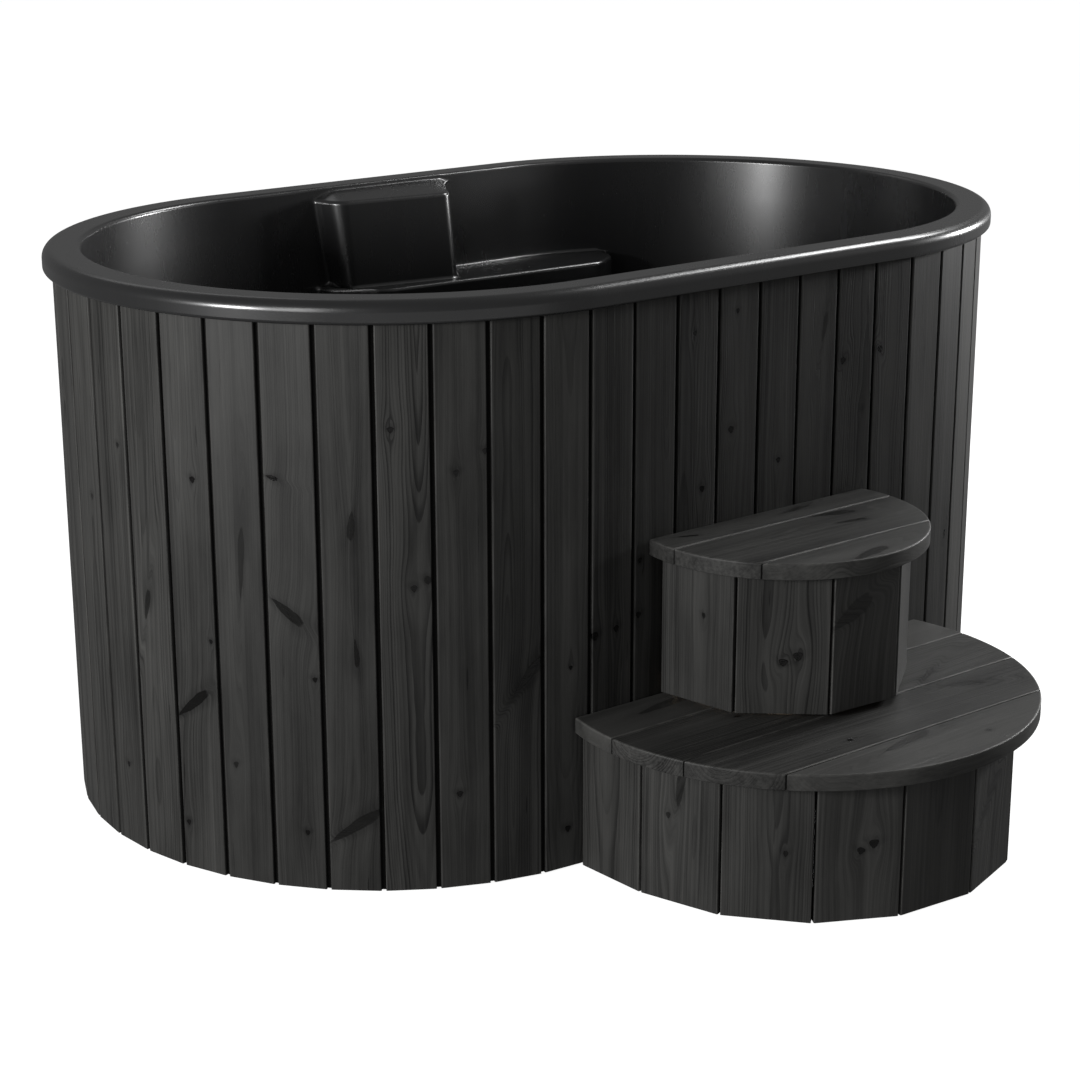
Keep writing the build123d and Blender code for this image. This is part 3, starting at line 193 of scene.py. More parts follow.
# ================================================================== materials
def stained_wood(name, tones, rough=0.50, ring=0.0042, contrast=1.0):
    """Spruce stained charcoal. u runs along the grain, v across the face and w into the board."""
    t = Tree(name)
    u, v, w = t.attr("bl")
    r1, r2, r3 = t.attr("bid")
    # two channels: arris lightening, partly worn stain and partly painted highlight; then painted shade deep in the
    # grooves and low on the seam sides
    wear_and_highlight, dark, _ = t.attr("wear_highlight_shade")
    kz = t.attr("kz")
    knots = [t.attr(f"kn{i}") for i in range(4)]
    figure = (r3 * 7.3 + r1 * 3.1).fract()
    streaky = (r2 * 5.9 + r3 * 2.3).fract()

    # growth rings bend round each knot, leaving long eyes along the grain
    vv, halo, core, rays = v, None, None, None
    for i, (pu, pv, rv) in enumerate(knots):
        p2 = pu * pu * 0.09 + pv * pv
        vv = vv - rv * pv * 2.0 / (p2 + 1.1)
        qv = pv / (pu * 0.36 + 0.74).max(0.28)                   # wider at one end
        d = (pu * pu + qv * qv).sqrt()
        wob = t.noise(pu * 1.4, pv * 1.4, rv * 900.0, 2.0)
        dn = d + (wob - 0.5) * 0.70
        amount = kz[i] if i < 3 else 1.0
        c = (1.0 - t.step(dn, 0.86, 1.02)) * amount
        h = (1.0 - t.step(d, 0.9, 2.6)) * amount
        g = t.math("SINE", dn * 15.0) * 0.5 + 0.5
        core = c if core is None else core.max(c)
        halo = h if halo is None else halo.max(h)
        rays = g * c if rays is None else rays.max(g * c)
    seed = r1 * 37.0
    sway = t.noise(u * 1.3, seed, r2 * 11.0, 2.0) - 0.5
    ripple = t.noise(u * 9.0, vv * 22.0, seed, 2.0) - 0.5
    across = vv + sway * 0.020 + ripple * 0.0042 - (r2 - 0.5) * 0.075
    under = (r3 * 0.045 + 0.004) + w + u * (r1 - 0.5) * 0.060 + (t.noise(u * 2.1, r3 * 19.0, seed, 3.0) - 0.5) * 0.026
    dist = (across * across + under * under).sqrt()
    rc = dist / ring + (t.noise(dist * 55.0, r2 * 7.0, seed, 1.0) - 0.5) * 3.0
    fr = rc.fract()
    late = t.step(fr, 0.30, 0.92) * (1.0 - t.step(fr, 0.94, 1.0))
    weight = t.step(t.noise(dist * 120.0, seed, 3.0, 1.0), 0.32, 0.72)      # some rings darker than others
    late = late * (weight * 0.9 + 0.1) * (figure * 1.5 + 0.25)

    fibre = t.noise(u * 26.0, vv * 1500.0, w * 1500.0 + seed, 2.0, 0.6)
    streak = t.noise(u * 1.2, vv * 190.0, w * 190.0 + seed, 3.0, 0.62)
    band = t.noise(u * 0.9, vv * 42.0, w * 42.0 + r1 * 91.0, 2.0)
    blotch = t.noise(u * 4.2, vv * 15.0, w * 15.0 + r2 * 53.0, 4.0, 0.6)
    cloud = t.noise(u * 1.7, vv * 9.0, r1 * 71.0, 2.0)
    # fine dark checks along the grain
    ch = t.noise(u * 5.0, vv * 520.0, r3 * 47.0, 1.0)
    check = t.step(ch, 0.72, 0.78) * t.step(t.noise(u * 3.0, vv * 30.0, r1 * 13.0, 1.0), 0.52, 0.64)
    # resin pockets: short dark lens-shaped marks
    pk = t.voronoi(u * 3.4, vv * 46.0, r2 * 31.0 + 0.3)
    pocket = 1.0 - t.step(pk, 0.050, 0.082)

    tone = (0.50 + (r3 - 0.5) * 0.30 + (streak - 0.5) * (streaky * 0.85 + 0.30) * contrast + (band - 0.5) * 0.50 * contrast
            + (blotch - 0.5) * 0.50 + (cloud - 0.5) * 0.55 + (fibre - 0.5) * 0.22 * contrast - late * 0.25 * contrast)
    tone = tone - halo * 0.15 - check * 0.30 - pocket * 0.26
    # lighter arrises, broken up by noise: partly worn stain, partly a painted highlight along the board edges
    edge_light_noise = t.noise(u * 14.0, vv * 60.0, w * 60.0 + seed, 3.0, 0.6)
    tone = tone + wear_and_highlight * t.step(edge_light_noise, 0.30, 0.62) * 0.62
    # knot cores are dark wood; the second factor is painted shade, darkening the faces deep in the grooves and low on
    # the tread seam sides
    tone = tone * (1.0 - core * (0.99 - rays * 0.05)) * (1.0 - dark * 0.96)
    col = t.ramp(tone.clamp(), tones)
    rr = rough + (streak - 0.5) * 0.18 + late * 0.05 - core * 0.26 + (blotch - 0.5) * 0.12 + dark * 0.45
    height = (fibre * 0.35 + streak * 0.35 - late * 0.35 - check * 0.9 - core * 0.3 + rays * 0.3 - pocket * 0.3 + blotch * 0.8)
    t.set(color=col, rough=rr, normal=t.bump(height, 0.00042, 0.8), spec=0.28)
    return t.mat


def liner_gloss(name):
    """Near-black gel coat with a soft gloss, faint unevenness and fine wiping marks."""
    t = Tree(name)
    x, y, z = t.coords()
    big = t.noise(x * 3.1, y * 3.1, z * 3.1, 3.0)
    peel = t.noise(x * 260.0, y * 260.0, z * 260.0, 2.0)
    wipe = t.noise(x * 34.0, y * 34.0, z * 7.0, 4.0, 0.7, 0.6)
    dust = t.step(t.noise(x * 900.0, y * 900.0, z * 900.0, 1.0), 0.76, 0.82)
    tone = 0.45 + (big - 0.5) * 0.5 + (wipe - 0.5) * 0.3 + dust * 0.04
    col = t.ramp(tone.clamp(), [(0.0, (0.0075, 0.0076, 0.0079)), (0.5, (0.0112, 0.0113, 0.0117)), (1.0, (0.0175, 0.0175, 0.0180))])
    rr = 0.272 + (big - 0.5) * 0.03 + (wipe - 0.5) * 0.02 + dust * 0.01
    t.set(color=col, rough=rr, normal=t.bump(peel * 0.008 + big * 1.5, 0.00022, 0.30), spec=0.9)
    return t.mat


def raw_timber(name, base):
    t = Tree(name)
    x, y, z = t.coords()
    grain = t.noise(x * 160.0, y * 160.0, z * 7.0, 3.0, 0.6)
    ring = ((x * 230.0 + t.noise(x * 6.0, y * 2.0, z * 6.0, 2.0) * 7.0).fract() * 0.6)
    blot = t.noise(x * 9.0, y * 9.0, z * 9.0, 2.0)
    tone = 0.35 + (grain - 0.5) * 0.7 + ring * 0.3 + (blot - 0.5) * 0.4
    lo = tuple(c * 0.62 for c in base)
    hi = tuple(min(c * 1.22, 1.0) for c in base)
    t.set(color=t.ramp(tone.clamp(), [(0.0, lo), (0.5, base), (1.0, hi)]),
          rough=0.72 + (grain - 0.5) * 0.2, normal=t.bump(grain, 0.0004, 0.6))
    return t.mat


def plywood(name, base):
    t = Tree(name)
    x, y, z = t.coords()
    grain = t.noise(x * 9.0, y * 210.0, z * 40.0, 3.0, 0.6)
    ply = t.step((z * 420.0).fract(), 0.35, 0.6)
    fleck = t.noise(x * 40.0, y * 300.0, z * 60.0, 2.0)
    tone = 0.45 + (grain - 0.5) * 0.6 + (ply - 0.5) * 0.22 + (fleck - 0.5) * 0.2
    t.set(color=t.ramp(tone.clamp(), [(0.0, tuple(c * 0.6 for c in base)), (0.5, base), (1.0, tuple(min(1.0, c * 1.2) for c in base))]),
          rough=0.6 + (grain - 0.5) * 0.2, normal=t.bump(grain, 0.0003, 0.5))
    return t.mat


def foam(name, base):
    t = Tree(name)
    x, y, z = t.coords()
    cell = t.voronoi(x * 420.0, y * 420.0, z * 420.0)
    blot = t.noise(x * 6.0, y * 6.0, z * 6.0, 2.0)
    t.set(color=t.ramp((0.3 + cell * 0.5 + (blot - 0.5) * 0.4).clamp(),
                       [(0.0, tuple(c * 0.7 for c in base)), (1.0, tuple(min(1.0, c * 1.1) for c in base))]),
          rough=0.85 + (blot - 0.5) * 0.1, normal=t.bump(cell, 0.0006, 0.8))
    return t.mat


def plastic(name, base, rough=0.42, grain=700.0, depth=0.00012):
    """Moulded plastic: fine spark-eroded texture and slight flow marks."""
    t = Tree(name)
    x, y, z = t.coords()
    fine = t.noise(x * grain, y * grain, z * grain, 2.0, 0.6)
    flow = t.noise(x * 24.0, y * 24.0, z * 24.0, 3.0, 0.5, 0.4)
    tone = 0.5 + (fine - 0.5) * 0.35 + (flow - 0.5) * 0.6
    t.set(color=t.ramp(tone.clamp(), [(0.0, tuple(c * 0.72 for c in base)), (0.5, base), (1.0, tuple(min(1.0, c * 1.3) for c in base))]),
          rough=rough + (flow - 0.5) * 0.14 + (fine - 0.5) * 0.08, normal=t.bump(fine, depth, 0.6))
    return t.mat


def steel(name, base):
    t = Tree(name)
    x, y, z = t.coords()
    brush = t.noise(x * 60.0, y * 60.0, z * 2600.0, 3.0, 0.6)
    smear = t.noise(x * 30.0, y * 30.0, z * 30.0, 3.0)
    tone = 0.5 + (brush - 0.5) * 0.5 + (smear - 0.5) * 0.3
    t.set(color=t.ramp(tone.clamp(), [(0.0, tuple(c * 0.82 for c in base)), (1.0, tuple(min(1.0, c * 1.12) for c in base))]),
          metal=1.0, rough=0.27 + (brush - 0.5) * 0.16 + (smear - 0.5) * 0.12, normal=t.bump(brush, 0.00006, 0.5))
    return t.mat


WOOD_TONES = [(0.0, (0.0030, 0.0029, 0.0027)), (0.28, (0.0172, 0.0170, 0.0162)), (0.5, (0.0324, 0.0321, 0.0306)),
              (0.72, (0.0475, 0.0470, 0.0448)), (1.0, (0.0720, 0.0710, 0.0675))]
M_WOOD = stained_wood("charcoal_spruce", WOOD_TONES)
TREAD_TONES = [(p, tuple(q * 1.14 for q in c)) for p, c in WOOD_TONES]
M_TREAD = stained_wood("charcoal_tread", TREAD_TONES, rough=0.52, ring=0.0048, contrast=0.9)
M_LINER = liner_gloss("liner_gel_coat")
MATS = {
    "liner_shell": M_LINER,
    "raw_timber": raw_timber("planed_softwood", (0.45, 0.33, 0.20)),
    "plywood": plywood("birch_plywood", (0.50, 0.38, 0.25)),
    "foam": foam("closed_cell_foam", (0.50, 0.56, 0.60)),
    "drain_plastic": plastic("grey_pipe_plastic", (0.085, 0.088, 0.095), 0.38),
    "valve_plastic": plastic("black_valve_plastic", (0.030, 0.030, 0.033), 0.36),
    "seal_rubber": plastic("seal_rubber", (0.018, 0.018, 0.018), 0.75, 900.0, 0.0002),
    "steel": steel("brushed_stainless", (0.56, 0.56, 0.57)),
    "seat_plastic": plastic("white_seat_plastic", (0.78, 0.78, 0.76), 0.45),
    "lever_grip": plastic("dipped_red_grip", (0.33, 0.022, 0.016), 0.34, 300.0, 0.0002),
    "stained_wood": M_WOOD,
}
slot_of = {s["node"]: s["material_slot"] for s in frame["record"]["subparts"]}
for node, ob in frame["nodes"].items():
    mat = MATS[slot_of[node]]
    if not ob.data.materials:
        ob.data.materials.append(mat)
    for i in range(len(ob.material_slots)):
        ob.material_slots[i].material = mat


# ================================================================== mesh helpers
def add_vec(me, name, data):
    a = me.attributes.new(name, "FLOAT_VECTOR", "POINT")
    a.data.foreach_set("vector", np.asarray(data, np.float32).ravel())


def make_piece(name, verts, faces, mat, body, nodes, attrs=None, sharp=None):
    me = bpy.data.meshes.new(name)
    me.from_pydata([tuple(p) for p in np.asarray(verts, float)], [], [tuple(f) for f in faces])
    me.validate(clean_customdata=False)
    me.materials.append(mat)
    for k, v in (attrs or {}).items():
        add_vec(me, k, v)
    me.polygons.foreach_set("use_smooth", np.ones(len(me.polygons), bool))
    ob = bpy.data.objects.new(name, me)
    bpy.context.scene.collection.objects.link(ob)
    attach(ob, body)
    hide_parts(*nodes)
    return ob


class Bag:
    """Collects boards into one mesh, with board coordinates on every point."""

    def __init__(self):
        self.v, self.f, self.bl, self.bid = [], [], [], []
        self.kn = [[], [], [], []]
        self.kz, self.wear_highlight_shade = [], []
        self.n = 0
        self.sharp = []

    def add(self, verts, faces, bl, bid, knots, wear_highlight_shade):
        verts, bl = np.asarray(verts, float), np.asarray(bl, float)
        self.v.append(verts)
        self.f.extend([tuple(i + self.n for i in f) for f in faces])
        self.bl.append(bl)
        self.bid.append(np.tile(np.asarray(bid, float), (len(verts), 1)))
        self.wear_highlight_shade.append(np.asarray(wear_highlight_shade, float))
        # long slanting knots are broad and faint, round ones small and dark
        knots = [(k[0], k[1], k[2] * (1.1 if k[2] > 3 * k[3] else 1.25), k[3] * (1.75 if k[2] > 3 * k[3] else 1.25), k[4],
                  min(1.0, (k[5] if len(k) > 5 else 1.0) * (1.45 if k[2] > 3 * k[3] else 1.15))) for k in knots]
        strength = [k[5] for k in knots[:3]] + [0.0, 0.0, 0.0]
        self.kz.append(np.tile(strength[:3], (len(verts), 1)))
        for k in range(4):
            if k < len(knots):
                ku, kv, ru, rv, phi = knots[k][:5]
                c, s = math.cos(math.radians(phi)), math.sin(math.radians(phi))
                du, dv = bl[:, 0] - ku * MM, bl[:, 1] - kv * MM
                pu, pv = (du * c + dv * s) / (ru * MM), (-du * s + dv * c) / (rv * MM)
                self.kn[k].append(np.stack([pu, pv, np.full(len(verts), rv * MM)], 1))
            else:
                self.kn[k].append(np.tile([60.0, 60.0, 0.0], (len(verts), 1)))
        self.n += len(verts)

    def build(self, name, mat, body, slot, nodes):
        attrs = {"bl": np.vstack(self.bl), "bid": np.vstack(self.bid), "wear_highlight_shade": np.vstack(self.wear_highlight_shade), "kz": np.vstack(self.kz)}
        for k in range(4):
            attrs[f"kn{k}"] = np.vstack(self.kn[k])
        ob = make_piece(name, np.vstack(self.v) * MM, self.f, mat, body, nodes, attrs)
        me = ob.data
        # crisp between faces that meet at more than 35 degrees
        me.update()
        edges = np.zeros(len(me.edges) * 2, np.int32)
        me.edges.foreach_get("vertices", edges)
        normals = np.zeros(len(me.polygons) * 3)
        me.polygons.foreach_get("normal", normals)
        normals = normals.reshape(-1, 3)
        el = np.zeros(len(me.loops), np.int32)
        me.loops.foreach_get("edge_index", el)
        lt = np.zeros(len(me.polygons), np.int32)
        me.polygons.foreach_get("loop_total", lt)
        poly = np.repeat(np.arange(len(me.polygons)), lt)
        order = np.argsort(el, kind="stable")
        es, ps = el[order], poly[order]
        sharp = np.zeros(len(me.edges), bool)
        same = np.nonzero(es[1:] == es[:-1])[0]
        dots = (normals[ps[same]] * normals[ps[same + 1]]).sum(1)
        sharp[es[same[dots < math.cos(math.radians(35))]]] = True
        a = me.attributes.get("sharp_edge") or me.attributes.new("sharp_edge", "BOOLEAN", "EDGE")
        a.data.foreach_set("value", sharp)
        return ob


def outline(s, r=R0, a=A0):
    s = (s + PERIM / 2) % PERIM - PERIM / 2
    m, g = abs(s), (1 if s >= 0 else -1)
    if m <= a:
        return (s, -r)
    if m <= a + math.pi * R0:
        th = (m - a) / R0
        return (g * (a + r * math.sin(th)), -r * math.cos(th))
    return (g * (a - (m - a - math.pi * R0)), r)


def prism(bag, section, to_xy, z0, z1, bid, knots, rows, soft, vmid, ease=1.3, lift=None, wear_and_highlight=None):
    """An upright board: section is [(across, depth)], drawn counter-clockwise from above, extruded z0 to z1.
    soft marks the section points on the outer face, which are worked: slight cupping, hollows and eased ends."""
    zs = [z0, z0 + ease] + list(np.linspace(z0, z1, rows + 2)[1:-1]) + [z1 - ease, z1]
    n = len(section)
    verts, bl, wear_highlight_shade = [], [], []
    seed = bid[0] * 97.0
    cup = (bid[1] - 0.5) * 0.7
    for k, z in enumerate(zs):
        end = k in (0, len(zs) - 1)
        for j, (a, d) in enumerate(section):
            dd = d
            if soft[j]:
                w = noise.noise((a * 0.012 + seed, z * 0.0032, bid[2] * 31.0))
                q = noise.noise((a * 0.05 + seed, z * 0.011, bid[1] * 17.0))
                across = (a - vmid[0]) / max(vmid[1], 1.0)
                dd = d + 0.30 * w + 0.10 * q + cup * 0.30 * (across * across - 0.4) + (lift or 0.0)
                if end:
                    dd += ease
            x, y = to_xy(a, dd)
            verts.append((x, y, z))
            bl.append(((z) * MM, (a - vmid[0]) * MM, d * MM))
            # first value lightens the arrises and ends, partly wear and partly painted highlight; second value is
            # painted shade, darker the deeper the face lies in the groove
            wear_highlight_shade.append((wear_and_highlight[j] if not end else 0.5, min(max((d - 1.8) / 4.0, 0.0), 1.0), 0.0))
    faces = []
    for k in range(len(zs) - 1):
        for j in range(n):
            j2 = (j + 1) % n
            faces.append((k * n + j, k * n + j2, (k + 1) * n + j2, (k + 1) * n + j))
    faces.append(tuple(range(n - 1, -1, -1)))
    top = (len(zs) - 1) * n
    faces.append(tuple(top + j for j in range(n)))
    bag.add(verts, faces, bl, bid, knots, wear_highlight_shade)


def arc(cx, cy, r, a0, a1, n):
    return [(cx + r * math.cos(math.radians(a0 + (a1 - a0) * i / n)), cy + r * math.sin(math.radians(a0 + (a1 - a0) * i / n))) for i in range(n + 1)]


# ================================================================== casing boards
# knots: board number -> [(height, across from the board's middle, half length, half width, turn)]
KNOTS = {
    0: [(610, 12.0, 5, 5, 0, 0.8)],
    1: [(150, -0.5, 4.5, 5, 0, 1), (720, 20.0, 4, 4.5, 0, 0.7)],
    2: [(455, -14.0, 26, 4.5, 12, 0.5)],
    3: [(690, 10.0, 5, 5.5, 0, 1), (419, 33.7, 3.5, 4, 0, 1), (86, -31.0, 4.5, 5, 0, 1), (304, -9.1, 38.9, 6.4, 49.7, 0.5)],
    4: [(560, 4.0, 60, 4.0, 3, 0.35), (210, -20.0, 5, 5, 0, 0.6)],
    5: [(486, -9.1, 31, 6.4, 129.4, 0.55), (374, 33.5, 4, 5, 0, 1), (709, -27.8, 10, 3.2, 107.0, 0.8), (104, 12.9, 4, 4.5, 0, 1)],
    6: [(119, 2.0, 51, 7.2, 55.7, 0.5), (420, 10.6, 24, 3.6, 175.6, 0.6), (635, 7.2, 23, 5.0, -174.6, 0.5)],
    7: [(791, -19.6, 4.8, 5.5, 0, 1), (529, 13.1, 5.4, 5.4, 0, 1), (542, 35.6, 6.0, 6.5, 0, 0.9)],
    8: [(717, -8.6, 5.2, 5.2, 0, 1), (170, -9.0, 4.8, 5.5, 0, 1), (750, 38.6, 4.5, 5, 0, 0.8)],
    9: [(360, 18.3, 40, 7.0, 38.9, 0.6)],
    10: [(74, 2.3, 5, 6, 0, 1), (361, 7.9, 3.5, 4, 0, 1)],
    11: [(406, -36.0, 6.5, 8, 0, 1), (410, 9.2, 5.5, 5.5, 0, 1)],
    12: [(520, -31.8, 4, 5, 0, 1), (424, -34.0, 5, 6, 0, 0.8)],
    13: [(619, 12.3, 5, 6, 0, 1), (890, -9.5, 4, 5, 0, 1)],
    14: [(712, -16.2, 5.5, 7, 0, 1), (915, -6.2, 4, 4.5, 0, 1)],
    15: [(640, 3.6, 4.5, 5.5, 0, 1)],
    16: [(860, 14.0, 26, 4.0, 10, 0.4)],
    17: [(794, -30.1, 6, 7, 20, 1), (700, 20.0, 4.5, 5, 0, 0.6)],
    18: [(802, -30.3, 6, 7, -15, 1)],
}


def face_points(lo, hi, e, k, n):
    """Outer face from one rounded arris to the other, with the arrises marked for lightening: partly worn stain,
    partly painted highlight.
    """
    pts, wear_and_highlight = [], []
    for q in arc(lo + e, e, e, 180, 270, k):
        pts.append(q)
        wear_and_highlight.append(1.0 if 0.15 < q[1] / e < 0.95 else 0.55)
    pts.append((lo + e + 0.9, 0.0))
    wear_and_highlight.append(0.0)
    for i in range(1, n):
        pts.append((lo + e + (hi - lo - 2 * e) * i / n, 0.0))
        wear_and_highlight.append(0.0)
    pts.append((hi - e - 0.9, 0.0))
    wear_and_highlight.append(0.0)
    for q in arc(hi - e, e, e, 270, 360, k):
        pts.append(q)
        wear_and_highlight.append(1.0 if 0.15 < q[1] / e < 0.95 else 0.55)
    return pts, wear_and_highlight


def clad_section(ln):
    g, e, t = GAP / 2, 2.0, T_BOARD
    lo, hi = g, ln - g
    pts, wear_and_highlight = face_points(lo, hi, e, 4, 8)
    soft = [q[1] < 1.2 for q in pts]
    rest = [(hi, 8.0), (hi + 11.0, 8.0), (hi + 11.0, 12.6), (hi, 12.6), (hi, t), (lo, t),
            (lo, 13.2), (lo + 7.0, 13.2), (lo + 7.0, 6.2), (lo, 6.2)]
    pts += rest
    soft += [False] * len(rest)
    wear_and_highlight += [0.0] * len(rest)
    return pts, soft, [0.45 * q for q in wear_and_highlight], lo, hi


def build_casing():
    js = [PHASE + PITCH * i for i in range(-12, 43)]
    boards = [(i - 12, js[i], js[i + 1]) for i in range(len(js) - 1)]
    boards.append((42, js[-1], js[0] + PERIM))
    bags = {k: Bag() for k in ("front", "right", "back", "left")}
    quarter = A0 + math.pi * R0 / 4
    back = A0 + 3 * math.pi * R0 / 4
    for num, s0, s1 in boards:
        m = ((s0 + s1) / 2 + PERIM / 2) % PERIM - PERIM / 2
        key = "front" if abs(m) <= quarter else "back" if abs(m) >= back else "right" if m > 0 else "left"
        ax, ay = outline(s0)
        bx, by = outline(s1)
        ln = math.hypot(bx - ax, by - ay)
        tx, ty = (bx - ax) / ln, (by - ay) / ln
        nx, ny = -ty, tx
        pts, soft, wear_and_highlight, lo, hi = clad_section(ln)
        r = np.random.default_rng(1000 + num)
        bid = r.random(3)
        if num in TONE:
            bid[2] = TONE[num]
        if num in KNOTS:
            knots = KNOTS[num]
        else:
            knots = [(r.uniform(60, 930), r.uniform(-30, 30), r.uniform(5, 9), r.uniform(4, 7), r.uniform(-20, 20))
                     for _ in range(int(r.integers(0, 3)))]
        prism(bags[key], pts, lambda a, d: (ax + tx * a + nx * d, ay + ty * a + ny * d), 4.0, 985.0, bid, knots,
              26, soft, (ln / 2, (hi - lo) / 2), lift=r.uniform(-0.15, 0.25), wear_and_highlight=wear_and_highlight)
    for key, node in (("front", "cladding_front"), ("right", "cladding_right_end"), ("back", "cladding_back"), ("left", "cladding_left_end")):
        bags[key].build("boards_" + key, M_WOOD, "tub", "stained_wood", [node])


TONE = {-3: 0.8, -2: 0.8, -1: 0.85, 0: 0.85, 1: 0.75, 12: 0.3, 13: 0.2, 14: 0.3, 15: 0.15, 16: 0.2, 17: 0.12, 18: 0.15, 19: 0.2}
build_casing()


# ================================================================== step unit
def circ_pt(c, r, deg):
    return (c[0] + r * math.sin(math.radians(deg)), c[1] - r * math.cos(math.radians(deg)))


def tread_outline(c, r, yb, yf, n=72):
    """Counter-clockwise outline of one board: the circle cut between two lines."""
    def hx(y):
        return math.sqrt(max(r * r - (y - c[1]) ** 2, 0.0))

    pts = []
    yf = max(yf, c[1] - r)
    ang = lambda x, y: math.degrees(math.atan2(y - c[1], x - c[0]))
    # left arc downwards (yb to yf), front edge, right arc upwards, back edge
    lb, lf = ang(c[0] - hx(yb), yb) % 360, ang(c[0] - hx(yf) - 1e-9, yf) % 360
    rf, rb = ang(c[0] + hx(yf) + 1e-9, yf), ang(c[0] + hx(yb), yb)
    if rf > 0:
        rf, rb = rf, rb
    m = max(4, int(abs(lf - lb) / 1.6))
    left = [(c[0] + r * math.cos(math.radians(lb + (lf - lb) * i / m)), c[1] + r * math.sin(math.radians(lb + (lf - lb) * i / m))) for i in range(m + 1)]
    m = max(4, int(abs(rb - rf) / 1.6))
    right = [(c[0] + r * math.cos(math.radians(rf + (rb - rf) * i / m)), c[1] + r * math.sin(math.radians(rf + (rb - rf) * i / m))) for i in range(m + 1)]
    pts = left[:]
    if hx(yf) > 2:
        k = max(2, int(2 * hx(yf) / 25))
        for i in range(1, k):
            pts.append((left[-1][0] + (right[0][0] - left[-1][0]) * i / k, yf))
        pts += right
    else:
        pts += right[1:]
    k = max(2, int(2 * hx(yb) / 25))
    for i in range(1, k):
        pts.append((right[-1][0] + (left[0][0] - right[-1][0]) * i / k, yb))
    return pts


def inset_loop(pts, d):
    out = []
    n = len(pts)
    for i in range(n):
        p0, p, p1 = pts[i - 1], pts[i], pts[(i + 1) % n]
        ux, uy = p[0] - p0[0], p[1] - p0[1]
        vx, vy = p1[0] - p[0], p1[1] - p[1]
        ul, vl = math.hypot(ux, uy), math.hypot(vx, vy)
        ux, uy, vx, vy = ux / ul, uy / ul, vx / vl, vy / vl
        mx, my = -(uy + vy), ux + vx
        ml = math.hypot(mx, my)
        mx, my = mx / ml, my / ml
        k = d / max(mx * -uy + my * ux, 0.35)
        out.append((p[0] + mx * k, p[1] + my * k))
    return out


def thin_out(pts, least=3.5):
    """Drop points of a curve that sit closer than least to a neighbour; corners stay."""
    keep = []
    for i, p in enumerate(pts):
        o, q = pts[i - 1], pts[(i + 1) % len(pts)]
        a = math.atan2(p[1] - o[1], p[0] - o[0])
        b = math.atan2(q[1] - p[1], q[0] - p[0])
        turn = abs((b - a + math.pi) % (2 * math.pi) - math.pi)
        o = keep[-1] if keep else o
        if turn < 0.4 and min(math.hypot(p[0] - q[0], p[1] - q[1]), math.hypot(p[0] - o[0], p[1] - o[1])) < least:
            continue
        keep.append(p)
    n = len(keep)
    sharp = []
    for i, p in enumerate(keep):
        o, q = keep[i - 1], keep[(i + 1) % n]
        a = math.atan2(p[1] - o[1], p[0] - o[0])
        b = math.atan2(q[1] - p[1], q[0] - p[0])
        if abs((b - a + math.pi) % (2 * math.pi) - math.pi) > 1.9:
            sharp.append(p)
    return [p for p in keep if all(p == c or math.hypot(p[0] - c[0], p[1] - c[1]) > 11.0 for c in sharp)]


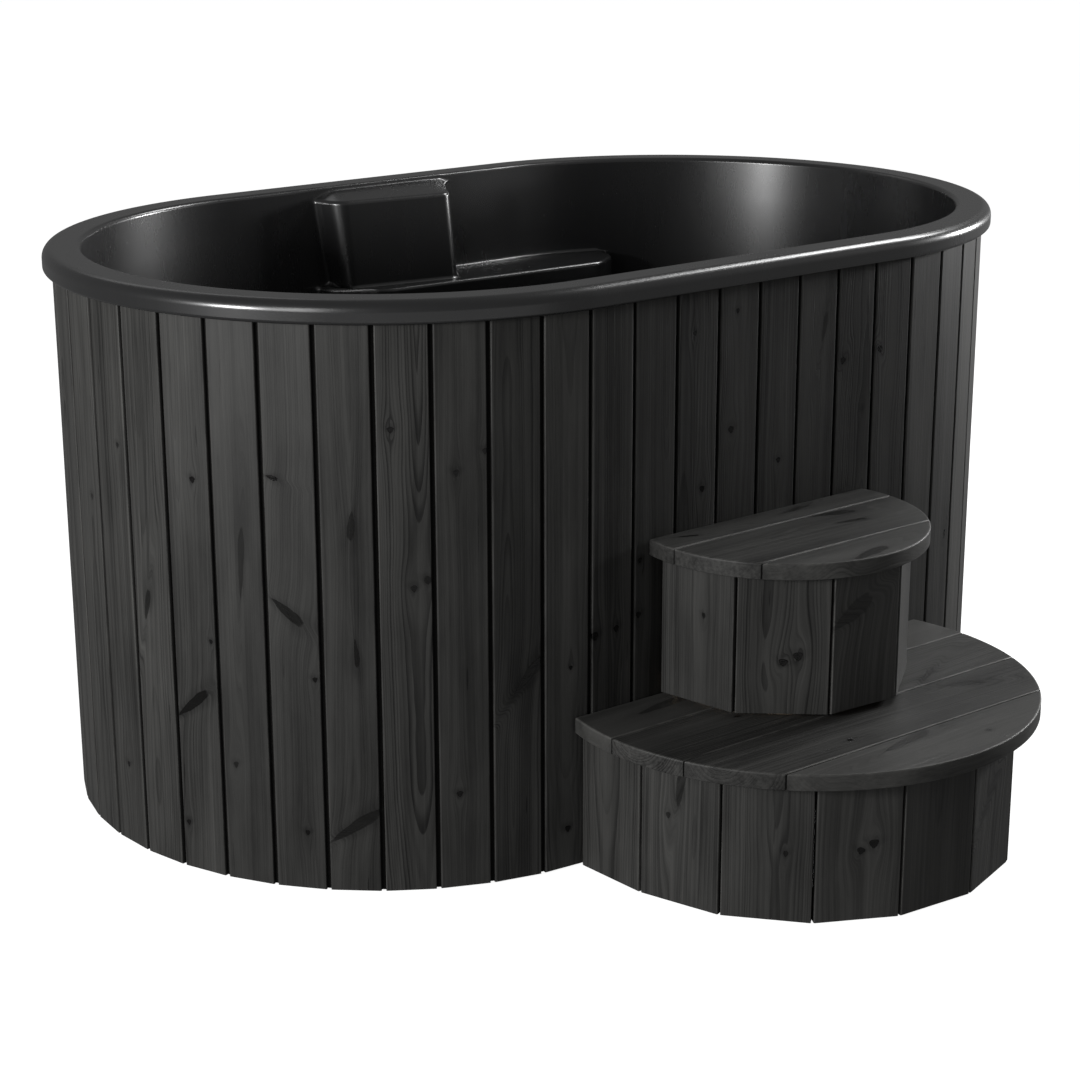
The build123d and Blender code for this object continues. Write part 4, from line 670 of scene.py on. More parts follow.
def tread(bag, pts, z0, z1, bid, knots, c, seams, R=2.6):
    """A flat board: outline pts, rounded top arris. Its edges on the seam lines carry painted shade low down and are
    lighter on top, partly worn stain and partly a painted highlight.
    """
    pts = thin_out(pts)
    n = len(pts)
    on_seam = [1.0 if any(abs(y - q) < 0.05 for q in seams) else 0.0 for x, y in pts]
    on_seam = [0.3 if q and not (on_seam[i - 1] and on_seam[(i + 1) % n]) else q for i, q in enumerate(on_seam)]
    # each ring: outline, height, arris lightening (partly wear, partly painted highlight), painted shade low on the
    # sides that face a seam
    rings = [(inset_loop(pts, 1.0), z0, 0.0, 1.0), (pts, z0 + 1.0, 0.0, 1.0), (pts, (z0 + z1) / 2, 0.0, 1.0),
             (pts, z1 - R - 1.5, 0.2, 0.6), (pts, z1 - R, 0.5, 0.2)]
    for a in (25, 50, 75, 90):
        rings.append((inset_loop(pts, R * (1 - math.cos(math.radians(a)))), z1 - R + R * math.sin(math.radians(a)), 1.0, 0.0))
    rings.append((inset_loop(pts, R + 1.2), z1, 0.0, 0.0))
    verts, wear_highlight_shade = [], []
    for lp, z, wo, dk in rings:
        verts += [(x, y, z) for x, y in lp]
        wear_highlight_shade += [(wo * (1.0 if q else 0.45), dk * q, 0.0) for q in on_seam]
    faces = []
    for k in range(len(rings) - 1):
        for j in range(n):
            j2 = (j + 1) % n
            faces.append((k * n + j, k * n + j2, (k + 1) * n + j2, (k + 1) * n + j))
    faces.append(tuple(range(n - 1, -1, -1)))
    # top: triangulated with inner points, so that it can carry a slight crown
    top = (len(rings) - 1) * n
    loop = rings[-1][0]
    xs, ys = [p[0] for p in loop], [p[1] for p in loop]
    inner = inset_loop(loop, 8.0)
    grid = []
    for x in np.arange(min(xs) + 14, max(xs) - 8, 22.0):
        for y in np.arange(min(ys) + 12, max(ys) - 6, 18.0):
            if inside((x, y), inner):
                grid.append((x, y))
    co = [Vector(p) for p in loop] + [Vector(g) for g in grid]
    ed = [(i, (i + 1) % n) for i in range(n)]
    res = delaunay_2d_cdt(co, ed, [], 1, 1e-5)
    ids = []
    for i, p in enumerate(res[0]):
        src = res[3][i]
        if src and src[0] < n:
            ids.append(top + src[0])
        else:
            h = 0.25 * noise.noise((p.x * 0.006, p.y * 0.02, bid[0] * 50.0)) + 0.10 * noise.noise((p.x * 0.03, p.y * 0.06, bid[1] * 50.0))
            ids.append(len(verts))
            verts.append((p.x, p.y, z1 + h - 0.12))
            wear_highlight_shade.append((0.0, 0.0, 0.0))
    for f in res[2]:
        faces.append(tuple(ids[i] for i in f))
    mid = (min(p[1] for p in pts) + max(p[1] for p in pts)) / 2
    bl = [((x - c[0]) * MM, (y - mid) * MM, (z1 - z) * MM) for x, y, z in verts]
    bag.add(verts, faces, bl, bid, knots, wear_highlight_shade)


def inside(p, poly):
    x, y = p
    c = False
    n = len(poly)
    for i in range(n):
        x0, y0 = poly[i]
        x1, y1 = poly[(i + 1) % n]
        if (y0 > y) != (y1 > y) and x < (x1 - x0) * (y - y0) / (y1 - y0) + x0:
            c = not c
    return c


TREAD_KNOTS = {
    "lower_tread_board_1": [(-250.0, 8.0, 60.0, 9.0, 6.0, 0.3)],
    "lower_tread_board_2": [(217.0, -34.0, 46.0, 7.0, 25.0, 0.42), (-190.0, 20.0, 5.0, 4.0, 0.0, 0.8)],
    "lower_tread_board_3": [(222.0, 33.0, 40.0, 9.0, -20.0, 0.40), (-120.0, -30.0, 5.0, 4.5, 0.0, 0.8)],
    "lower_tread_board_4": [(-49.0, 44.0, 66.0, 8.0, 10.0, 0.38), (90.0, -6.0, 5.5, 4.5, 0.0, 0.6)],
    "upper_tread_board_1": [(-190.0, 6.0, 20.0, 3.0, -20.0, 0.7), (60.0, 10.0, 34.0, 5.0, 8.0, 0.35)],
    "upper_tread_board_2": [(94.0, 58.0, 42.0, 7.0, -14.0, 0.45), (86.0, 8.0, 30.0, 4.5, -10.0, 0.45)],
    "upper_tread_board_3": [(-16.0, -22.0, 46.0, 9.0, 12.0, 0.42)],
}


def build_treads():
    for tier, c, r, top, seams, front in (("lower", LOW_C, LOW_R, LOW_TOP, LOW_SEAMS, LOW_C[1] - LOW_R),
                                          ("upper", UP_C, UP_R, UP_TOP, UP_SEAMS, UP_C[1] - UP_R)):
        ys = [STEP_BACK] + list(seams) + [front]
        for i in range(len(ys) - 1):
            yb = ys[i] - (0 if i == 0 else SEAM / 2)
            yf = ys[i + 1] + (0 if i == len(ys) - 2 else SEAM / 2)
            rr = np.random.default_rng(7000 + i + (50 if tier == "upper" else 0))
            bid = rr.random(3)
            name = f"{tier}_tread_board_{i + 1}"
            knots = TREAD_KNOTS.get(name, [])
            bag = Bag()
            tread(bag, tread_outline(c, r, yb, yf), top - TREAD_T, top, bid, knots, c, [yb] * (i > 0) + [yf] * (i < len(ys) - 2))
            bag.build("finished_" + name, M_TREAD, "entry_step", "stained_wood", [name])


def skirt_boards(pts, t, gap_out, gap_in):
    """(corner a, corner b, inner a, inner b) of each bevel-edged board round a polygon."""
    def unit(a, b):
        d = math.hypot(b[0] - a[0], b[1] - a[1])
        return ((b[0] - a[0]) / d, (b[1] - a[1]) / d)

    n = len(pts)
    inner = []
    for i in range(n):
        if i == 0:
            u = unit(pts[0], pts[1])
            inner.append((pts[0][0] - u[1] * t, pts[0][1] + u[0] * t))
        elif i == n - 1:
            u = unit(pts[-2], pts[-1])
            inner.append((pts[-1][0] - u[1] * t, pts[-1][1] + u[0] * t))
        else:
            u, v = unit(pts[i - 1], pts[i]), unit(pts[i], pts[i + 1])
            bx, by = -(u[1] + v[1]), (u[0] + v[0])
            bl = math.hypot(bx, by)
            bx, by = bx / bl, by / bl
            k = t / (bx * -u[1] + by * u[0])
            inner.append((pts[i][0] + bx * k, pts[i][1] + by * k))
    out = []
    for i in range(n - 1):
        u = unit(pts[i], pts[i + 1])
        w = unit(inner[i], inner[i + 1])
        ga = 0.0 if i == 0 else gap_out / 2
        gb = 0.0 if i == n - 2 else gap_out / 2
        ia = 0.0 if i == 0 else gap_in / 2
        ib = 0.0 if i == n - 2 else gap_in / 2
        out.append((pts[i], pts[i + 1], inner[i], inner[i + 1], u, w, ga, gb, ia, ib))
    return out


SKIRT_KNOTS = {
    ("upper", 1): [(374.0, 0.6, 5.4, 8.4, 15.0, 1.0), (384.9, 24.9, 6.6, 8.6, 0.0, 0.95)],
    ("upper", 2): [(455.0, -30.0, 44.0, 12.0, 62.0, 0.30)],
    ("upper", 0): [(440.0, 12.0, 4.5, 4.0, 0.0, 0.7)],
    ("lower", 3): [(123.0, 3.4, 5.0, 7.4, 15.0, 1.0), (133.3, 24.7, 6.4, 8.6, 0.0, 0.9)],
    ("lower", 1): [(203.0, -0.4, 30.0, 6.0, 8.0, 0.40), (154.0, -22.0, 5.0, 5.0, 0.0, 0.6)],
    ("lower", 2): [(120.0, 30.0, 5.0, 4.5, 0.0, 0.7)],
    ("lower", 5): [(150.0, -20.0, 50.0, 10.0, 40.0, 0.35)],
}


def build_skirts():
    low = [(-368.5, STEP_BACK)] + [circ_pt(LOW_C, 383.5, a) for a in
                                   (-84.4, -61.6, -38.7, -16.6, 6.4, 29.1, 51.8, 74.5, 97.2)] + [(402.0, STEP_BACK)]
    up = [(-212.1, -604.3), (-184.2, -753.9), (-64.7, -859.7), (81.8, -869.8), (200.0, -781.1), (252.0, -640.0)]
    for tier, poly, z0, z1, go, k0 in (("lower", low, 2.0, 246.0, 5.4, 0), ("upper", up, 284.0, 526.0, 6.6, 40)):
        bag = Bag()
        for i, (a, b, p, q, u, w, ga, gb, ia, ib) in enumerate(skirt_boards(poly, 15.0, go, 0.02)):
            ln = math.hypot(b[0] - a[0], b[1] - a[1])
            nx, ny = -u[1], u[0]
            loc = lambda P: ((P[0] - a[0]) * u[0] + (P[1] - a[1]) * u[1], (P[0] - a[0]) * nx + (P[1] - a[1]) * ny)
            p1 = loc((p[0] + w[0] * ia, p[1] + w[1] * ia))
            q1 = loc((q[0] - w[0] * ib, q[1] - w[1] * ib))
            sec, wear_and_highlight = face_points(ga, ln - gb, 1.6, 3, 8)
            soft = [q[1] < 1.0 for q in sec]
            sec += [q1, p1]
            soft += [False, False]
            wear_and_highlight = [0.7 * q for q in wear_and_highlight] + [0.0, 0.0]
            r = np.random.default_rng(5000 + k0 + i)
            bid = r.random(3)
            bid[2] = 0.6 + 0.4 * bid[2]
            knots = SKIRT_KNOTS.get((tier, i), [])
            prism(bag, sec, lambda aa, d: (a[0] + u[0] * aa + nx * d, a[1] + u[1] * aa + ny * d), z0, z1, bid, knots,
                  8, soft, (ln / 2, ln / 2), ease=1.0, wear_and_highlight=wear_and_highlight)
        bag.build(f"{tier}_skirt", M_WOOD, "entry_step", "stained_wood", [f"{tier}_skirt_boards"])


build_treads()
build_skirts()


# ================================================================== liner
def wall_in(z):
    return R0 - 51.3 - SLOPE * (TOP_Z - z)


def wall_out(z):
    return wall_in(z) + 6.0 * math.sqrt(1 + SLOPE * SLOPE)


def offset_open(pts, d):
    """Move an open plan outline inwards (towards the body of the bulge) by d."""
    res = []
    n = len(pts)
    for i, (x, y) in enumerate(pts):
        if i == 0 or i == n - 1:
            a, b = (pts[0], pts[1]) if i == 0 else (pts[-2], pts[-1])
            l = math.hypot(b[0] - a[0], b[1] - a[1])
            ux, uy = (b[0] - a[0]) / l, (b[1] - a[1]) / l
            res.append((x - uy * d, y + ux * d))
            continue
        ax, ay = pts[i - 1]
        bx, by = pts[i + 1]
        ul, vl = math.hypot(x - ax, y - ay), math.hypot(bx - x, by - y)
        u, v = ((x - ax) / ul, (y - ay) / ul), ((bx - x) / vl, (by - y) / vl)
        nx, ny = -(u[1] + v[1]), (u[0] + v[0])
        nl = math.hypot(nx, ny)
        nx, ny = nx / nl, ny / nl
        k = d / (nx * -u[1] + ny * u[0])
        res.append((x + nx * k, y + ny * k))
    return res


def wall_pt(x, r):
    """Point of the far wall at this x."""
    if x <= A0:
        return (x, r)
    return (x, math.sqrt(max(r * r - (x - A0) ** 2, 0.0)))


def arc_x(x, r):
    """The same spot round the end for a wall of radius r, where x is given on the nominal radius."""
    if x <= A0:
        return (x, r)
    th = math.asin(min(1.0, (x - A0) / 520.0))
    return (A0 + r * math.sin(th), r * math.cos(th))


def cut_wall(p, q, r):
    """Where the line p to q meets the far wall of radius r."""
    lo, hi = 0.0, 1.0
    f = lambda t: (p[1] + (q[1] - p[1]) * t) - wall_pt(p[0] + (q[0] - p[0]) * t, r)[1]
    for _ in range(50):
        m = (lo + hi) / 2
        if f(lo) * f(m) <= 0:
            hi = m
        else:
            lo = m
    return (p[0] + (q[0] - p[0]) * hi, p[1] + (q[1] - p[1]) * hi)


def corner_arc(a, p, b, r, n):
    ul, vl = math.dist(a, p), math.dist(p, b)
    u = ((p[0] - a[0]) / ul, (p[1] - a[1]) / ul)
    v = ((b[0] - p[0]) / vl, (b[1] - p[1]) / vl)
    cs = max(-1.0, min(1.0, u[0] * v[0] + u[1] * v[1]))
    th = math.acos(cs)
    T = min(r * math.tan(th / 2), 0.47 * min(ul, vl))
    rr = T / math.tan(th / 2)
    sn = math.sin(th)
    m = ((v[0] - u[0] * cs) / sn, (v[1] - u[1] * cs) / sn)
    p0 = (p[0] - u[0] * T, p[1] - u[1] * T)
    return [(p0[0] + rr * math.sin(th * i / (n - 1)) * u[0] + rr * (1 - math.cos(th * i / (n - 1))) * m[0],
             p0[1] + rr * math.sin(th * i / (n - 1)) * u[1] + rr * (1 - math.cos(th * i / (n - 1))) * m[1]) for i in range(n)]


def between(a, b, n, ts=None):
    ts = ts if ts is not None else [(i + 1) / (n + 1) for i in range(n)]
    return [(a[0] + (b[0] - a[0]) * t, a[1] + (b[1] - a[1]) * t) for t in ts]


X_START, X_END = -205.0, 604.0


def block_path(r, pts, rad):
    """Plan path at block level: along the far wall, round the block, along the wall again."""
    c = [tuple(map(float, p)) for p in pts]
    j1 = cut_wall(c[1], c[0], r)
    j2 = cut_wall(c[4], c[5], r)
    start = arc_x(X_START, r)
    a_j1 = corner_arc(start, j1, c[1], 9.0, 5)
    a1 = corner_arc(j1, c[1], c[2], rad[0], 5)
    a2 = corner_arc(c[1], c[2], c[3], rad[1], 7)
    a3 = corner_arc(c[2], c[3], c[4], rad[2], 7)
    a4 = corner_arc(c[3], c[4], j2, rad[3], 5)
    a_j2 = corner_arc(c[4], j2, arc_x(j2[0] + 60, r), 9.0, 5)
    g = [start] + between(start, a_j1[0], 3) + a_j1 + between(a_j1[-1], a1[0], 4) + a1 + between(a1[-1], a2[0], 5) + a2
    g += between(a2[-1], a3[0], 7) + a3 + between(a3[-1], a4[0], 3) + a4 + between(a4[-1], a_j2[0], 4) + a_j2
    xs = list(np.linspace(a_j2[-1][0] + 11.0, 444.0, 19)) + list(np.linspace(449.0, 552.0, 26)) + list(np.linspace(560.0, X_END, 7)[:-1])
    g += [arc_x(x, r) for x in xs]
    return g


def ledge_path(r, off, ts):
    c = offset_open([tuple(map(float, p)) for p in LEDGE], off)
    rad = [max(q - off, 7.0) for q in LEDGE_R]
    j1 = cut_wall(c[1], c[0], r)
    j2 = cut_wall(c[4], c[5], r)
    start = arc_x(X_START, r)
    a_j1 = corner_arc(start, j1, c[1], 12.0, 5)
    a1 = corner_arc(j1, c[1], c[2], rad[0], 5)
    a2 = corner_arc(c[1], c[2], c[3], rad[1], 7)
    a3 = corner_arc(c[2], c[3], c[4], rad[2], 7)
    a4 = corner_arc(c[3], c[4], j2, rad[3], 7)
    nxt = wall_pt(j2[0] + 40, r)
    a_j2 = corner_arc(c[4], j2, nxt, 12.0, 5)
    g = [start] + between(start, a_j1[0], 3) + a_j1 + between(a_j1[-1], a1[0], 4) + a1 + between(a1[-1], a2[0], 5) + a2
    g += between(a2[-1], a3[0], len(ts), ts) + a3 + between(a3[-1], a4[0], 3) + a4 + between(a4[-1], a_j2[0], 4) + a_j2
    x_end = arc_x(X_END, r)[0]
    xs = np.linspace(a_j2[-1][0], x_end, 8)[1:-1]
    g += [wall_pt(x, r) for x in xs]
    return g


def build_liner():
    blk0 = block_path(wall_in(LEDGE_Z), BLOCK_FOOT, FOOT_R)
    nb = len(blk0)
    first6 = 4 + 5 + 4 + 5 + 5 + 7
    bx = np.array([p[0] for p in blk0])
    dx = np.abs(np.diff(bx[first6 - 1: first6 + 50 + 1])) + 2.5
    ts = list(np.cumsum(dx)[:50] / dx.sum())
    paths = {
        "l0": ledge_path(wall_in(FLOOR_Z), -13.6, ts),
        "l1": ledge_path(wall_in(LEDGE_Z), 0.0, ts),
        "b0": blk0,
        "b1": block_path(wall_in(BLOCK_Z), BLOCK_HEAD, HEAD_R),
    }
    for k, p in paths.items():
        assert len(p) == nb, (k, len(p), nb)
    # the wall behind the block: same columns, spread evenly
    i0, i1 = 4, 4 + 5 + 4 + 5 + 5 + 7 + 7 + 7 + 3 + 5 + 4 + 5 - 1
    d = np.abs(np.diff(bx[i0:i1 + 1])) + 1.6
    xw = bx.copy()
    xw[i0:i1 + 1] = bx[i0] + (bx[i1] - bx[i0]) * np.concatenate([[0], np.cumsum(d)]) / d.sum()
    nominal = np.where(xw > A0, xw, xw)

    def wall_row(r):
        # xw is measured on the wall at ledge height; keep the same place round the end
        out = []
        rr = wall_in(LEDGE_Z)
        for x in nominal:
            if x <= A0:
                out.append((x, r))
            else:
                th = math.asin(min(1.0, (x - A0) / rr))
                out.append((A0 + r * math.sin(th), r * math.cos(th)))
        return out

    # the rest of the loop: from the right end round the front and left end
    th_end = math.asin((nominal[-1] - A0) / wall_in(LEDGE_Z))
    th_next = math.asin((X_END - A0) / 520.0)
    rest = []
    arc_n, side_n = 84, 34
    for i in range(arc_n + 1):
        rest.append(("r", th_next + (math.pi - th_next) * i / arc_n))
    for i in range(1, side_n):
        rest.append(("f", A0 - 2 * A0 * i / side_n))
    for i in range(arc_n + 17):
        rest.append(("l", math.pi * i / (arc_n + 16)))
    for i in range(1, 8):
        rest.append(("b", -A0 + (X_START + A0) * i / 8))

    def rest_row(r):
        out = []
        for k, q in rest:
            if k == "r":
                out.append((A0 + r * math.sin(q), r * math.cos(q)))
            elif k == "f":
                out.append((q, -r))
            elif k == "l":
                out.append((-A0 - r * math.sin(q), -r * math.cos(q)))
            else:
                out.append((q, r))
        return out

    def row(bump, r, z):
        return np.array([(x, y, z) for x, y in list(bump) + rest_row(r)], float)

    wf, wl, wb, wt = wall_in(FLOOR_Z), wall_in(LEDGE_Z), wall_in(BLOCK_Z), wall_in(TOP_Z)
    q1 = row(paths["l0"], wf, FLOOR_Z)
    q2 = row(paths["l1"], wl, LEDGE_Z)
    q3 = row(paths["b0"], wl, LEDGE_Z)
    q4 = row(paths["b1"], wb, BLOCK_Z)
    wc, wp = wall_in(BLOCK_TOP), wall_in(981.0)
    out4 = np.linalg.norm(q4[:, :2] - row(wall_row(wb), wb, BLOCK_Z)[:, :2], axis=1)
    share = np.clip(out4 / 30.0, 0, 1)[:, None]
    q5 = row(wall_row(wc), wc, BLOCK_TOP) * share + row(wall_row(wp), wp, 981.0) * (1 - share)
    # columns that run on bare wall carry the same spot at every height
    q6 = row(wall_row(wt), wt, TOP_Z)
    q7 = row(wall_row(R0 + RIM_OVER), R0 + RIM_OVER, TOP_Z)
    q8 = row(wall_row(R0 + RIM_OVER), R0 + RIM_OVER, LIP_Z)
    q9 = row(wall_row(R0 + 0.6), R0 + 0.6, LIP_Z)
    q10 = row(wall_row(R0 + 0.6), R0 + 0.6, TOP_Z - 8)
    q11 = row(wall_row(wall_out(TOP_Z - 8)), wall_out(TOP_Z - 8), TOP_Z - 8)
    q12 = row(wall_row(wall_out(FLOOR_Z - 6)), wall_out(FLOOR_Z - 6), FLOOR_Z - 6)
    ncol = len(q1)
    isb = np.arange(ncol) < nb

    def inward(q, dist):
        ax = np.clip(q[:, 0], -A0, A0)
        v = np.stack([ax - q[:, 0], -q[:, 1]], 1)
        v /= np.maximum(np.linalg.norm(v, axis=1), 1e-9)[:, None]
        out = q.copy()
        out[:, :2] += v * dist[:, None]
        return out

    # floor rounding: 60 on the plain wall, tighter under the ledge
    rad1 = np.full(ncol, 60.0)
    lift = np.linalg.norm(q1[:, :2] - row(wall_row(wf), wf, FLOOR_Z)[:, :2], axis=1)
    rad1 = np.where(isb, 60.0 - 38.0 * np.clip(lift / 60.0, 0, 1), 60.0)
    # floor edge follows the normal of the wall line, not the axis, under the ledge
    nx_, px_ = np.roll(q1, -1, 0), np.roll(q1, 1, 0)
    tang = (nx_ - px_)[:, :2]
    tang /= np.maximum(np.linalg.norm(tang, axis=1), 1e-9)[:, None]
    nor = np.stack([tang[:, 1], -tang[:, 0]], 1)
    chk = np.sum(nor * (np.stack([np.clip(q1[:, 0], -A0, A0), 0 * q1[:, 1]], 1) - q1[:, :2]), 1)
    if np.median(chk) < 0:
        nor = -nor
    q0 = q1.copy()
    q0[:, :2] += nor * (rad1 * 1.02)[:, None]
    # where this line crosses itself in an inside corner, the small loop is gathered to the crossing
    i = 0
    while i < ncol - 3:
        p, r = q0[i, :2].copy(), q0[i + 1, :2] - q0[i, :2]
        step = 1
        for j in range(min(i + 40, ncol - 2), i + 1, -1):
            s, w = q0[j + 1, :2] - q0[j, :2], q0[j, :2] - p
            d = r[0] * s[1] - r[1] * s[0]
            if abs(d) < 1e-9:
                continue
            t, u = (w[0] * s[1] - w[1] * s[0]) / d, (w[0] * r[1] - w[1] * r[0]) / d
            if 0 < t < 1 and 0 < u < 1:
                q0[i + 1:j + 1, :2] = p + t * r
                step = j - i
                break
        i += step
    q13 = inward(q12, np.full(ncol, 80.0))
    Q = [q0, q1, q2, q3, q4, q5, q6, q7, q8, q9, q10, q11, q12, q13]
    RAD = [None, rad1, np.full(ncol, 8.0), np.full(ncol, 8.0), np.full(ncol, 9.0), np.full(ncol, 6.0), np.full(ncol, 12.0),
           np.full(ncol, 21.5), np.full(ncol, 6.0), np.full(ncol, 2.0), np.full(ncol, 1.0), np.full(ncol, 1.0), np.full(ncol, 66.0), None]
    NARC = [0, 9, 6, 5, 7, 5, 7, 12, 6, 2, 1, 1, 6, 0]
    NSTR = [0, 7, 3, 5, 4, 1, 4, 1, 0, 0, 0, 6, 0]        # inner points of each straight
    nq = len(Q)
    seg = [Q[i + 1] - Q[i] for i in range(nq - 1)]
    ln = [np.linalg.norm(s, axis=1) for s in seg]
    un = []
    for i in range(nq - 1):
        u = seg[i] / np.maximum(ln[i], 1e-9)[:, None]
        if i:
            u = np.where((ln[i] < 1e-4)[:, None], un[i - 1], u)
        un.append(u)
    # a zero-length run takes the direction of the run before it
    rows, tans = [], []

    def emit(p, t):
        rows.append(p)
        tans.append(t)

    emit(Q[0], un[0])
    last = Q[0]
    for k in range(1, nq - 1):
        ua, ub = un[k - 1], un[k]
        cs = np.clip((ua * ub).sum(1), -1, 1)
        th = np.arccos(cs)
        tt = np.tan(th / 2)
        T = np.minimum(RAD[k] * tt, 0.485 * np.minimum(ln[k - 1], ln[k]))
        T = np.where(th < 1e-3, 0.0, T)
        r = T / np.maximum(tt, 1e-9)
        m = ub - ua * cs[:, None]
        m /= np.maximum(np.linalg.norm(m, axis=1), 1e-9)[:, None]
        p0 = Q[k] - ua * T[:, None]
        for j in range(1, NSTR[k - 1] + 1):
            f = j / (NSTR[k - 1] + 1)
            emit(last * (1 - f) + p0 * f, ua)
        for j in range(NARC[k] + 1):
            ph = th * j / NARC[k]
            emit(p0 + ua * (r * np.sin(ph))[:, None] + m * (r * (1 - np.cos(ph)))[:, None],
                 ua * np.cos(ph)[:, None] + m * np.sin(ph)[:, None])
        last = rows[-1]
    for j in range(1, NSTR[nq - 2] + 1):
        f = j / (NSTR[nq - 2] + 1)
        emit(last * (1 - f) + Q[-1] * f, un[-1])
    emit(Q[-1], un[-1])
    P = np.stack(rows)            # rows, columns, 3
    TN = np.stack(tans)
    nr = len(P)
    LT = np.roll(P, -1, 1) - np.roll(P, 1, 1)
    LT /= np.maximum(np.linalg.norm(LT, axis=2), 1e-9)[:, :, None]
    N = np.cross(TN, LT)
    NL = np.linalg.norm(N, axis=2)
    good = NL > 0.25
    N = N / np.maximum(NL, 1e-9)[:, :, None]
    # point the normals out of the surface: up on the floor
    if N[0, :, 2].mean() < 0:
        N = -N
    V = P.reshape(-1, 3)
    NN = N.reshape(-1, 3)
    G = good.reshape(-1)
    key = np.round(V / 0.03).astype(np.int64)
    _, first, inv = np.unique(key, axis=0, return_index=True, return_inverse=True)
    inv = inv.reshape(-1)
    U = V[first]
    UN = np.zeros((len(U), 3))
    np.add.at(UN, inv, NN * G[:, None])
    faces = []
    idx = inv.reshape(nr, ncol)
    for k in range(nr - 1):
        a, b = idx[k], idx[k + 1]
        for j in range(ncol):
            j2 = (j + 1) % ncol
            f = [a[j], a[j2], b[j2], b[j]]
            g = []
            for q in f:
                if q not in g:
                    g.append(q)
            if len(g) >= 3:
                faces.append(tuple(int(q) for q in g))
    # wind so that faces agree with the normals
    f0 = faces[0]
    c = np.cross(U[f0[1]] - U[f0[0]], U[f0[2]] - U[f0[0]])
    flip = c[2] < 0
    if flip:
        faces = [f[::-1] for f in faces]
    verts = list(map(tuple, U))
    norms = list(map(tuple, UN))
    # floor and underside with the drain hole
    hole = [(DRAIN[0] + 26 * math.cos(2 * math.pi * i / 40), DRAIN[1] + 26 * math.sin(2 * math.pi * i / 40)) for i in range(40)]
    for rowi, z, up in ((0, FLOOR_Z, True), (nr - 1, FLOOR_Z - 6, False)):
        ring = []
        for j in range(ncol):
            q = int(idx[rowi][j])
            if not ring or ring[-1] != q:
                ring.append(q)
        if ring[0] == ring[-1]:
            ring.pop()
        base = len(verts)
        for x, y in hole:
            verts.append((x, y, z))
            norms.append((0, 0, 1.0 if up else -1.0))
        ids = ring + list(range(base, base + 40))
        co = [Vector((verts[i][0], verts[i][1])) for i in ids]
        nring = len(ring)
        ed = [(i, (i + 1) % nring) for i in range(nring)] + [(nring + i, nring + (i + 1) % 40) for i in range(40)]
        res = delaunay_2d_cdt(co, ed, [], 1, 1e-4)
        src = [s[0] if s else None for s in res[3]]
        for i, q in enumerate(src):
            if q is None:
                src[i] = len(ids)
                ids.append(len(verts))
                verts.append((res[0][i].x, res[0][i].y, z))
                norms.append((0, 0, 1.0 if up else -1.0))
        for f in res[2]:
            tri = [src[i] for i in f]
            if all(nring <= i < nring + 40 for i in tri):
                continue
            g = [ids[i] for i in tri]
            a, b, c_ = (np.array(verts[i]) for i in g)
            if (np.cross(b - a, c_ - a)[2] > 0) != up:
                g = g[::-1]
            faces.append(tuple(g))
    # wall of the drain hole
    base = len(verts)
    for z in (FLOOR_Z, FLOOR_Z - 6):
        for x, y in hole:
            verts.append((x, y, z))
            l = 26.0
            norms.append(((DRAIN[0] - x) / l, (DRAIN[1] - y) / l, 0.0))
    for i in range(40):
        i2 = (i + 1) % 40
        faces.append((base + i, base + 40 + i, base + 40 + i2, base + i2))
    me = bpy.data.meshes.new("liner_moulding")
    me.from_pydata([(x * MM, y * MM, z * MM) for x, y, z in verts], [], faces)
    me.materials.append(M_LINER)
    me.polygons.foreach_set("use_smooth", np.ones(len(me.polygons), bool))
    me.update()
    # normals: worked out from the profile where it gives one, else the mesh's own
    own = np.zeros(len(me.vertices) * 3)
    me.vertices.foreach_get("normal", own)
    own = own.reshape(-1, 3)
    nn = np.array(norms, float)
    L = np.linalg.norm(nn, axis=1)
    nn = np.where((L > 0.3)[:, None], nn / np.maximum(L, 1e-9)[:, None], own)
    bad = (nn * own).sum(1) < 0.6
    nn[bad] = own[bad]
    me.normals_split_custom_set_from_vertices([tuple(v) for v in nn])
    ob = bpy.data.objects.new("liner_moulding", me)
    bpy.context.scene.collection.objects.link(ob)
    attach(ob, "tub")
    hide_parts("liner")
    print("liner faces", len(me.polygons), "custom normals replaced by own:", int(bad.sum()), "of", len(nn))
    return ob


build_liner()

# ================================================================== stage, camera, lights
def stage_floor():
    me = bpy.data.meshes.new("studio_floor")
    me.from_pydata([(-60, -60, 0), (60, -60, 0), (60, 60, 0), (-60, 60, 0)], [], [(0, 1, 2, 3)])
    ob = bpy.data.objects.new("studio_floor", me)
    bpy.context.scene.collection.objects.link(ob)
    t = Tree("pale_floor")
    x, y, z = t.coords()
    n = t.noise(x * 2.0, y * 2.0, z, 2.0)
    t.set(color=t.ramp(n, [(0.0, (0.30, 0.30, 0.30)), (1.0, (0.34, 0.34, 0.34))]), rough=0.9, spec=0.1)
    t.bsdf.inputs["Emission Color"].default_value = (1, 1, 1, 1)
    t.bsdf.inputs["Emission Strength"].default_value = 0.95
    me.materials.append(t.mat)
    ob.visible_diffuse = False
    ob.visible_glossy = False


stage_floor()

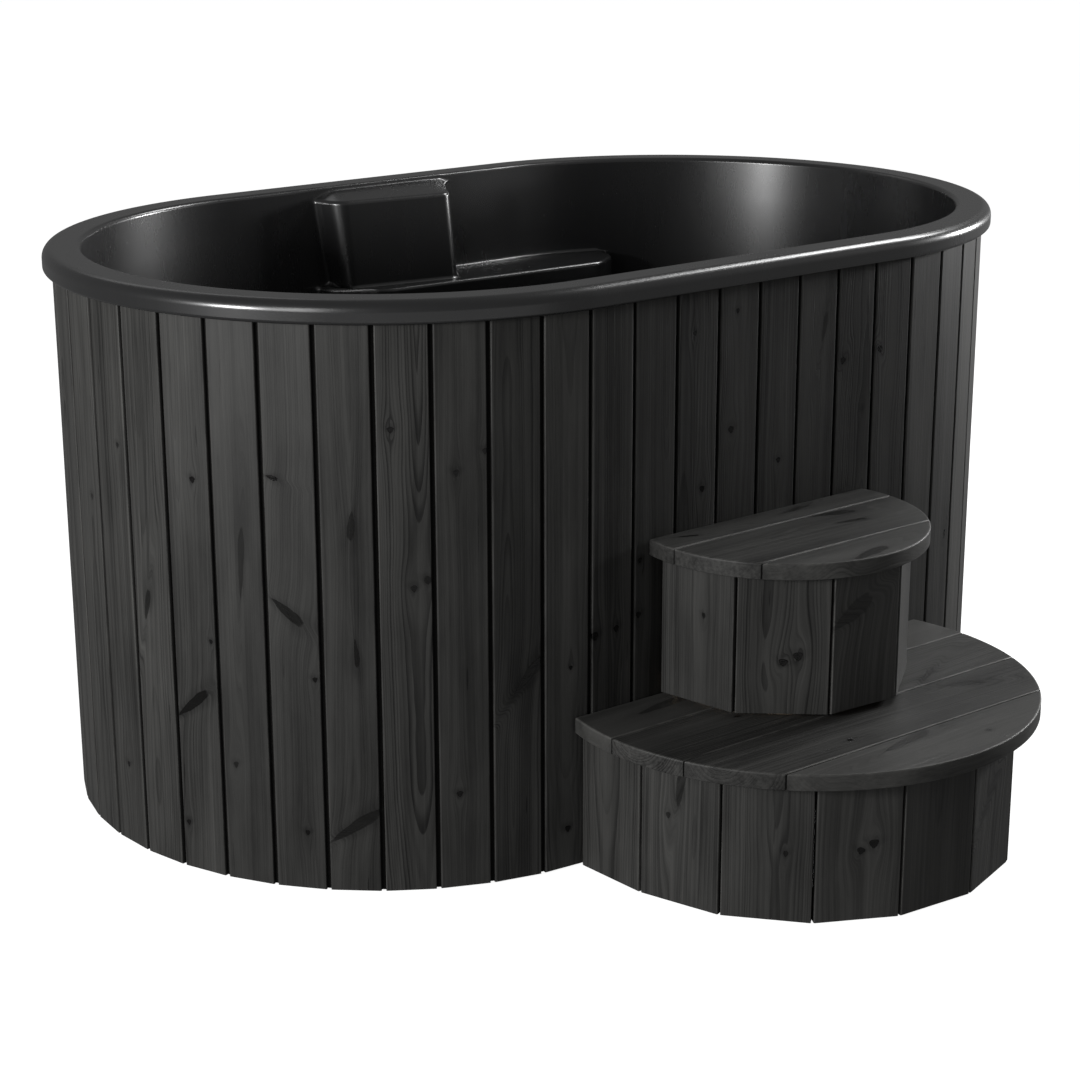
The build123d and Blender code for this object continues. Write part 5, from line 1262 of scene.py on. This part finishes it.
cam_data = bpy.data.cameras.new("photo_camera")
cam = bpy.data.objects.new("photo_camera", cam_data)
bpy.context.scene.collection.objects.link(cam)
az, el, roll = math.radians(-38.102), math.radians(17.068), math.radians(-0.15)
back = Vector((math.sin(az) * math.cos(el), -math.cos(az) * math.cos(el), math.sin(el)))
right = Vector((math.cos(az), math.sin(az), 0.0))
up = back.cross(right)
Rv = right * math.cos(roll) + up * math.sin(roll)
Uv = -right * math.sin(roll) + up * math.cos(roll)
cam.matrix_world = Matrix(((Rv.x, Uv.x, back.x, -2.71677), (Rv.y, Uv.y, back.y, -3.46748),
                           (Rv.z, Uv.z, back.z, 1.72043), (0, 0, 0, 1)))
cam_data.lens = 79.637
cam_data.sensor_width = 36.0
cam_data.clip_start, cam_data.clip_end = 0.05, 200.0
bpy.context.scene.camera = cam


def area(name, at, aim, size, energy, color=(1, 1, 1)):
    li = bpy.data.lights.new(name, "AREA")
    li.shape = "RECTANGLE"
    li.size, li.size_y = size
    li.energy = energy
    li.color = color
    ob = bpy.data.objects.new(name, li)
    bpy.context.scene.collection.objects.link(ob)
    ob.location = at
    ob.rotation_euler = (Vector(aim) - Vector(at)).to_track_quat("-Z", "Y").to_euler()
    return ob


LIGHTS = [
    ("side_left", (-4.2, -0.6, 1.45), (-0.3, 0.0, 1.0), (0.45, 0.60), 108.0),
    ("side_right", (4.2, -0.9, 1.50), (0.3, 0.0, 1.0), (0.50, 0.60), 138.0),
    ("left_front", (-3.9, -1.9, 1.80), (-0.3, 0.0, 0.9), (0.80, 2.00), 28.0),
    ("right_high", (3.3, -0.5, 3.80), (0.3, 0.0, 0.9), (0.70, 1.20), 60.0),
    ("back_soft", (0.3, 3.2, 3.40), (0.0, 0.0, 0.9), (2.20, 1.00), 4.0),
    ("right_rim", (3.1, 0.4, 3.70), (0.3, -0.5, 0.99), (0.80, 0.80), 22.0),
    ("floor_bounce", (-1.1, -2.9, 0.04), (-0.1, -0.7, 0.45), (3.60, 1.00), 3.6),
]
for entry in LIGHTS:
    area(*entry)

world = bpy.data.worlds.new("studio")
bpy.context.scene.world = world
world.use_nodes = True
world.node_tree.nodes["Background"].inputs[0].default_value = (1, 1, 1, 1)
world.node_tree.nodes["Background"].inputs[1].default_value = 0.170
# the backdrop above the floor's far edge is as pale as the floor; it lights nothing
wn, wl = world.node_tree.nodes, world.node_tree.links
pale, seen, pick = wn.new("ShaderNodeBackground"), wn.new("ShaderNodeLightPath"), wn.new("ShaderNodeMixShader")
pale.inputs[0].default_value = (1, 1, 1, 1)
pale.inputs[1].default_value = 1.0
wl.new(seen.outputs["Is Camera Ray"], pick.inputs[0])
wl.new(wn["Background"].outputs[0], pick.inputs[1])
wl.new(pale.outputs[0], pick.inputs[2])
wl.new(pick.outputs[0], wn["World Output"].inputs[0])

vs = bpy.context.scene.view_settings
vs.view_transform = "Standard"
vs.look = "None"
vs.exposure = 0.0
vs.gamma = 1.0
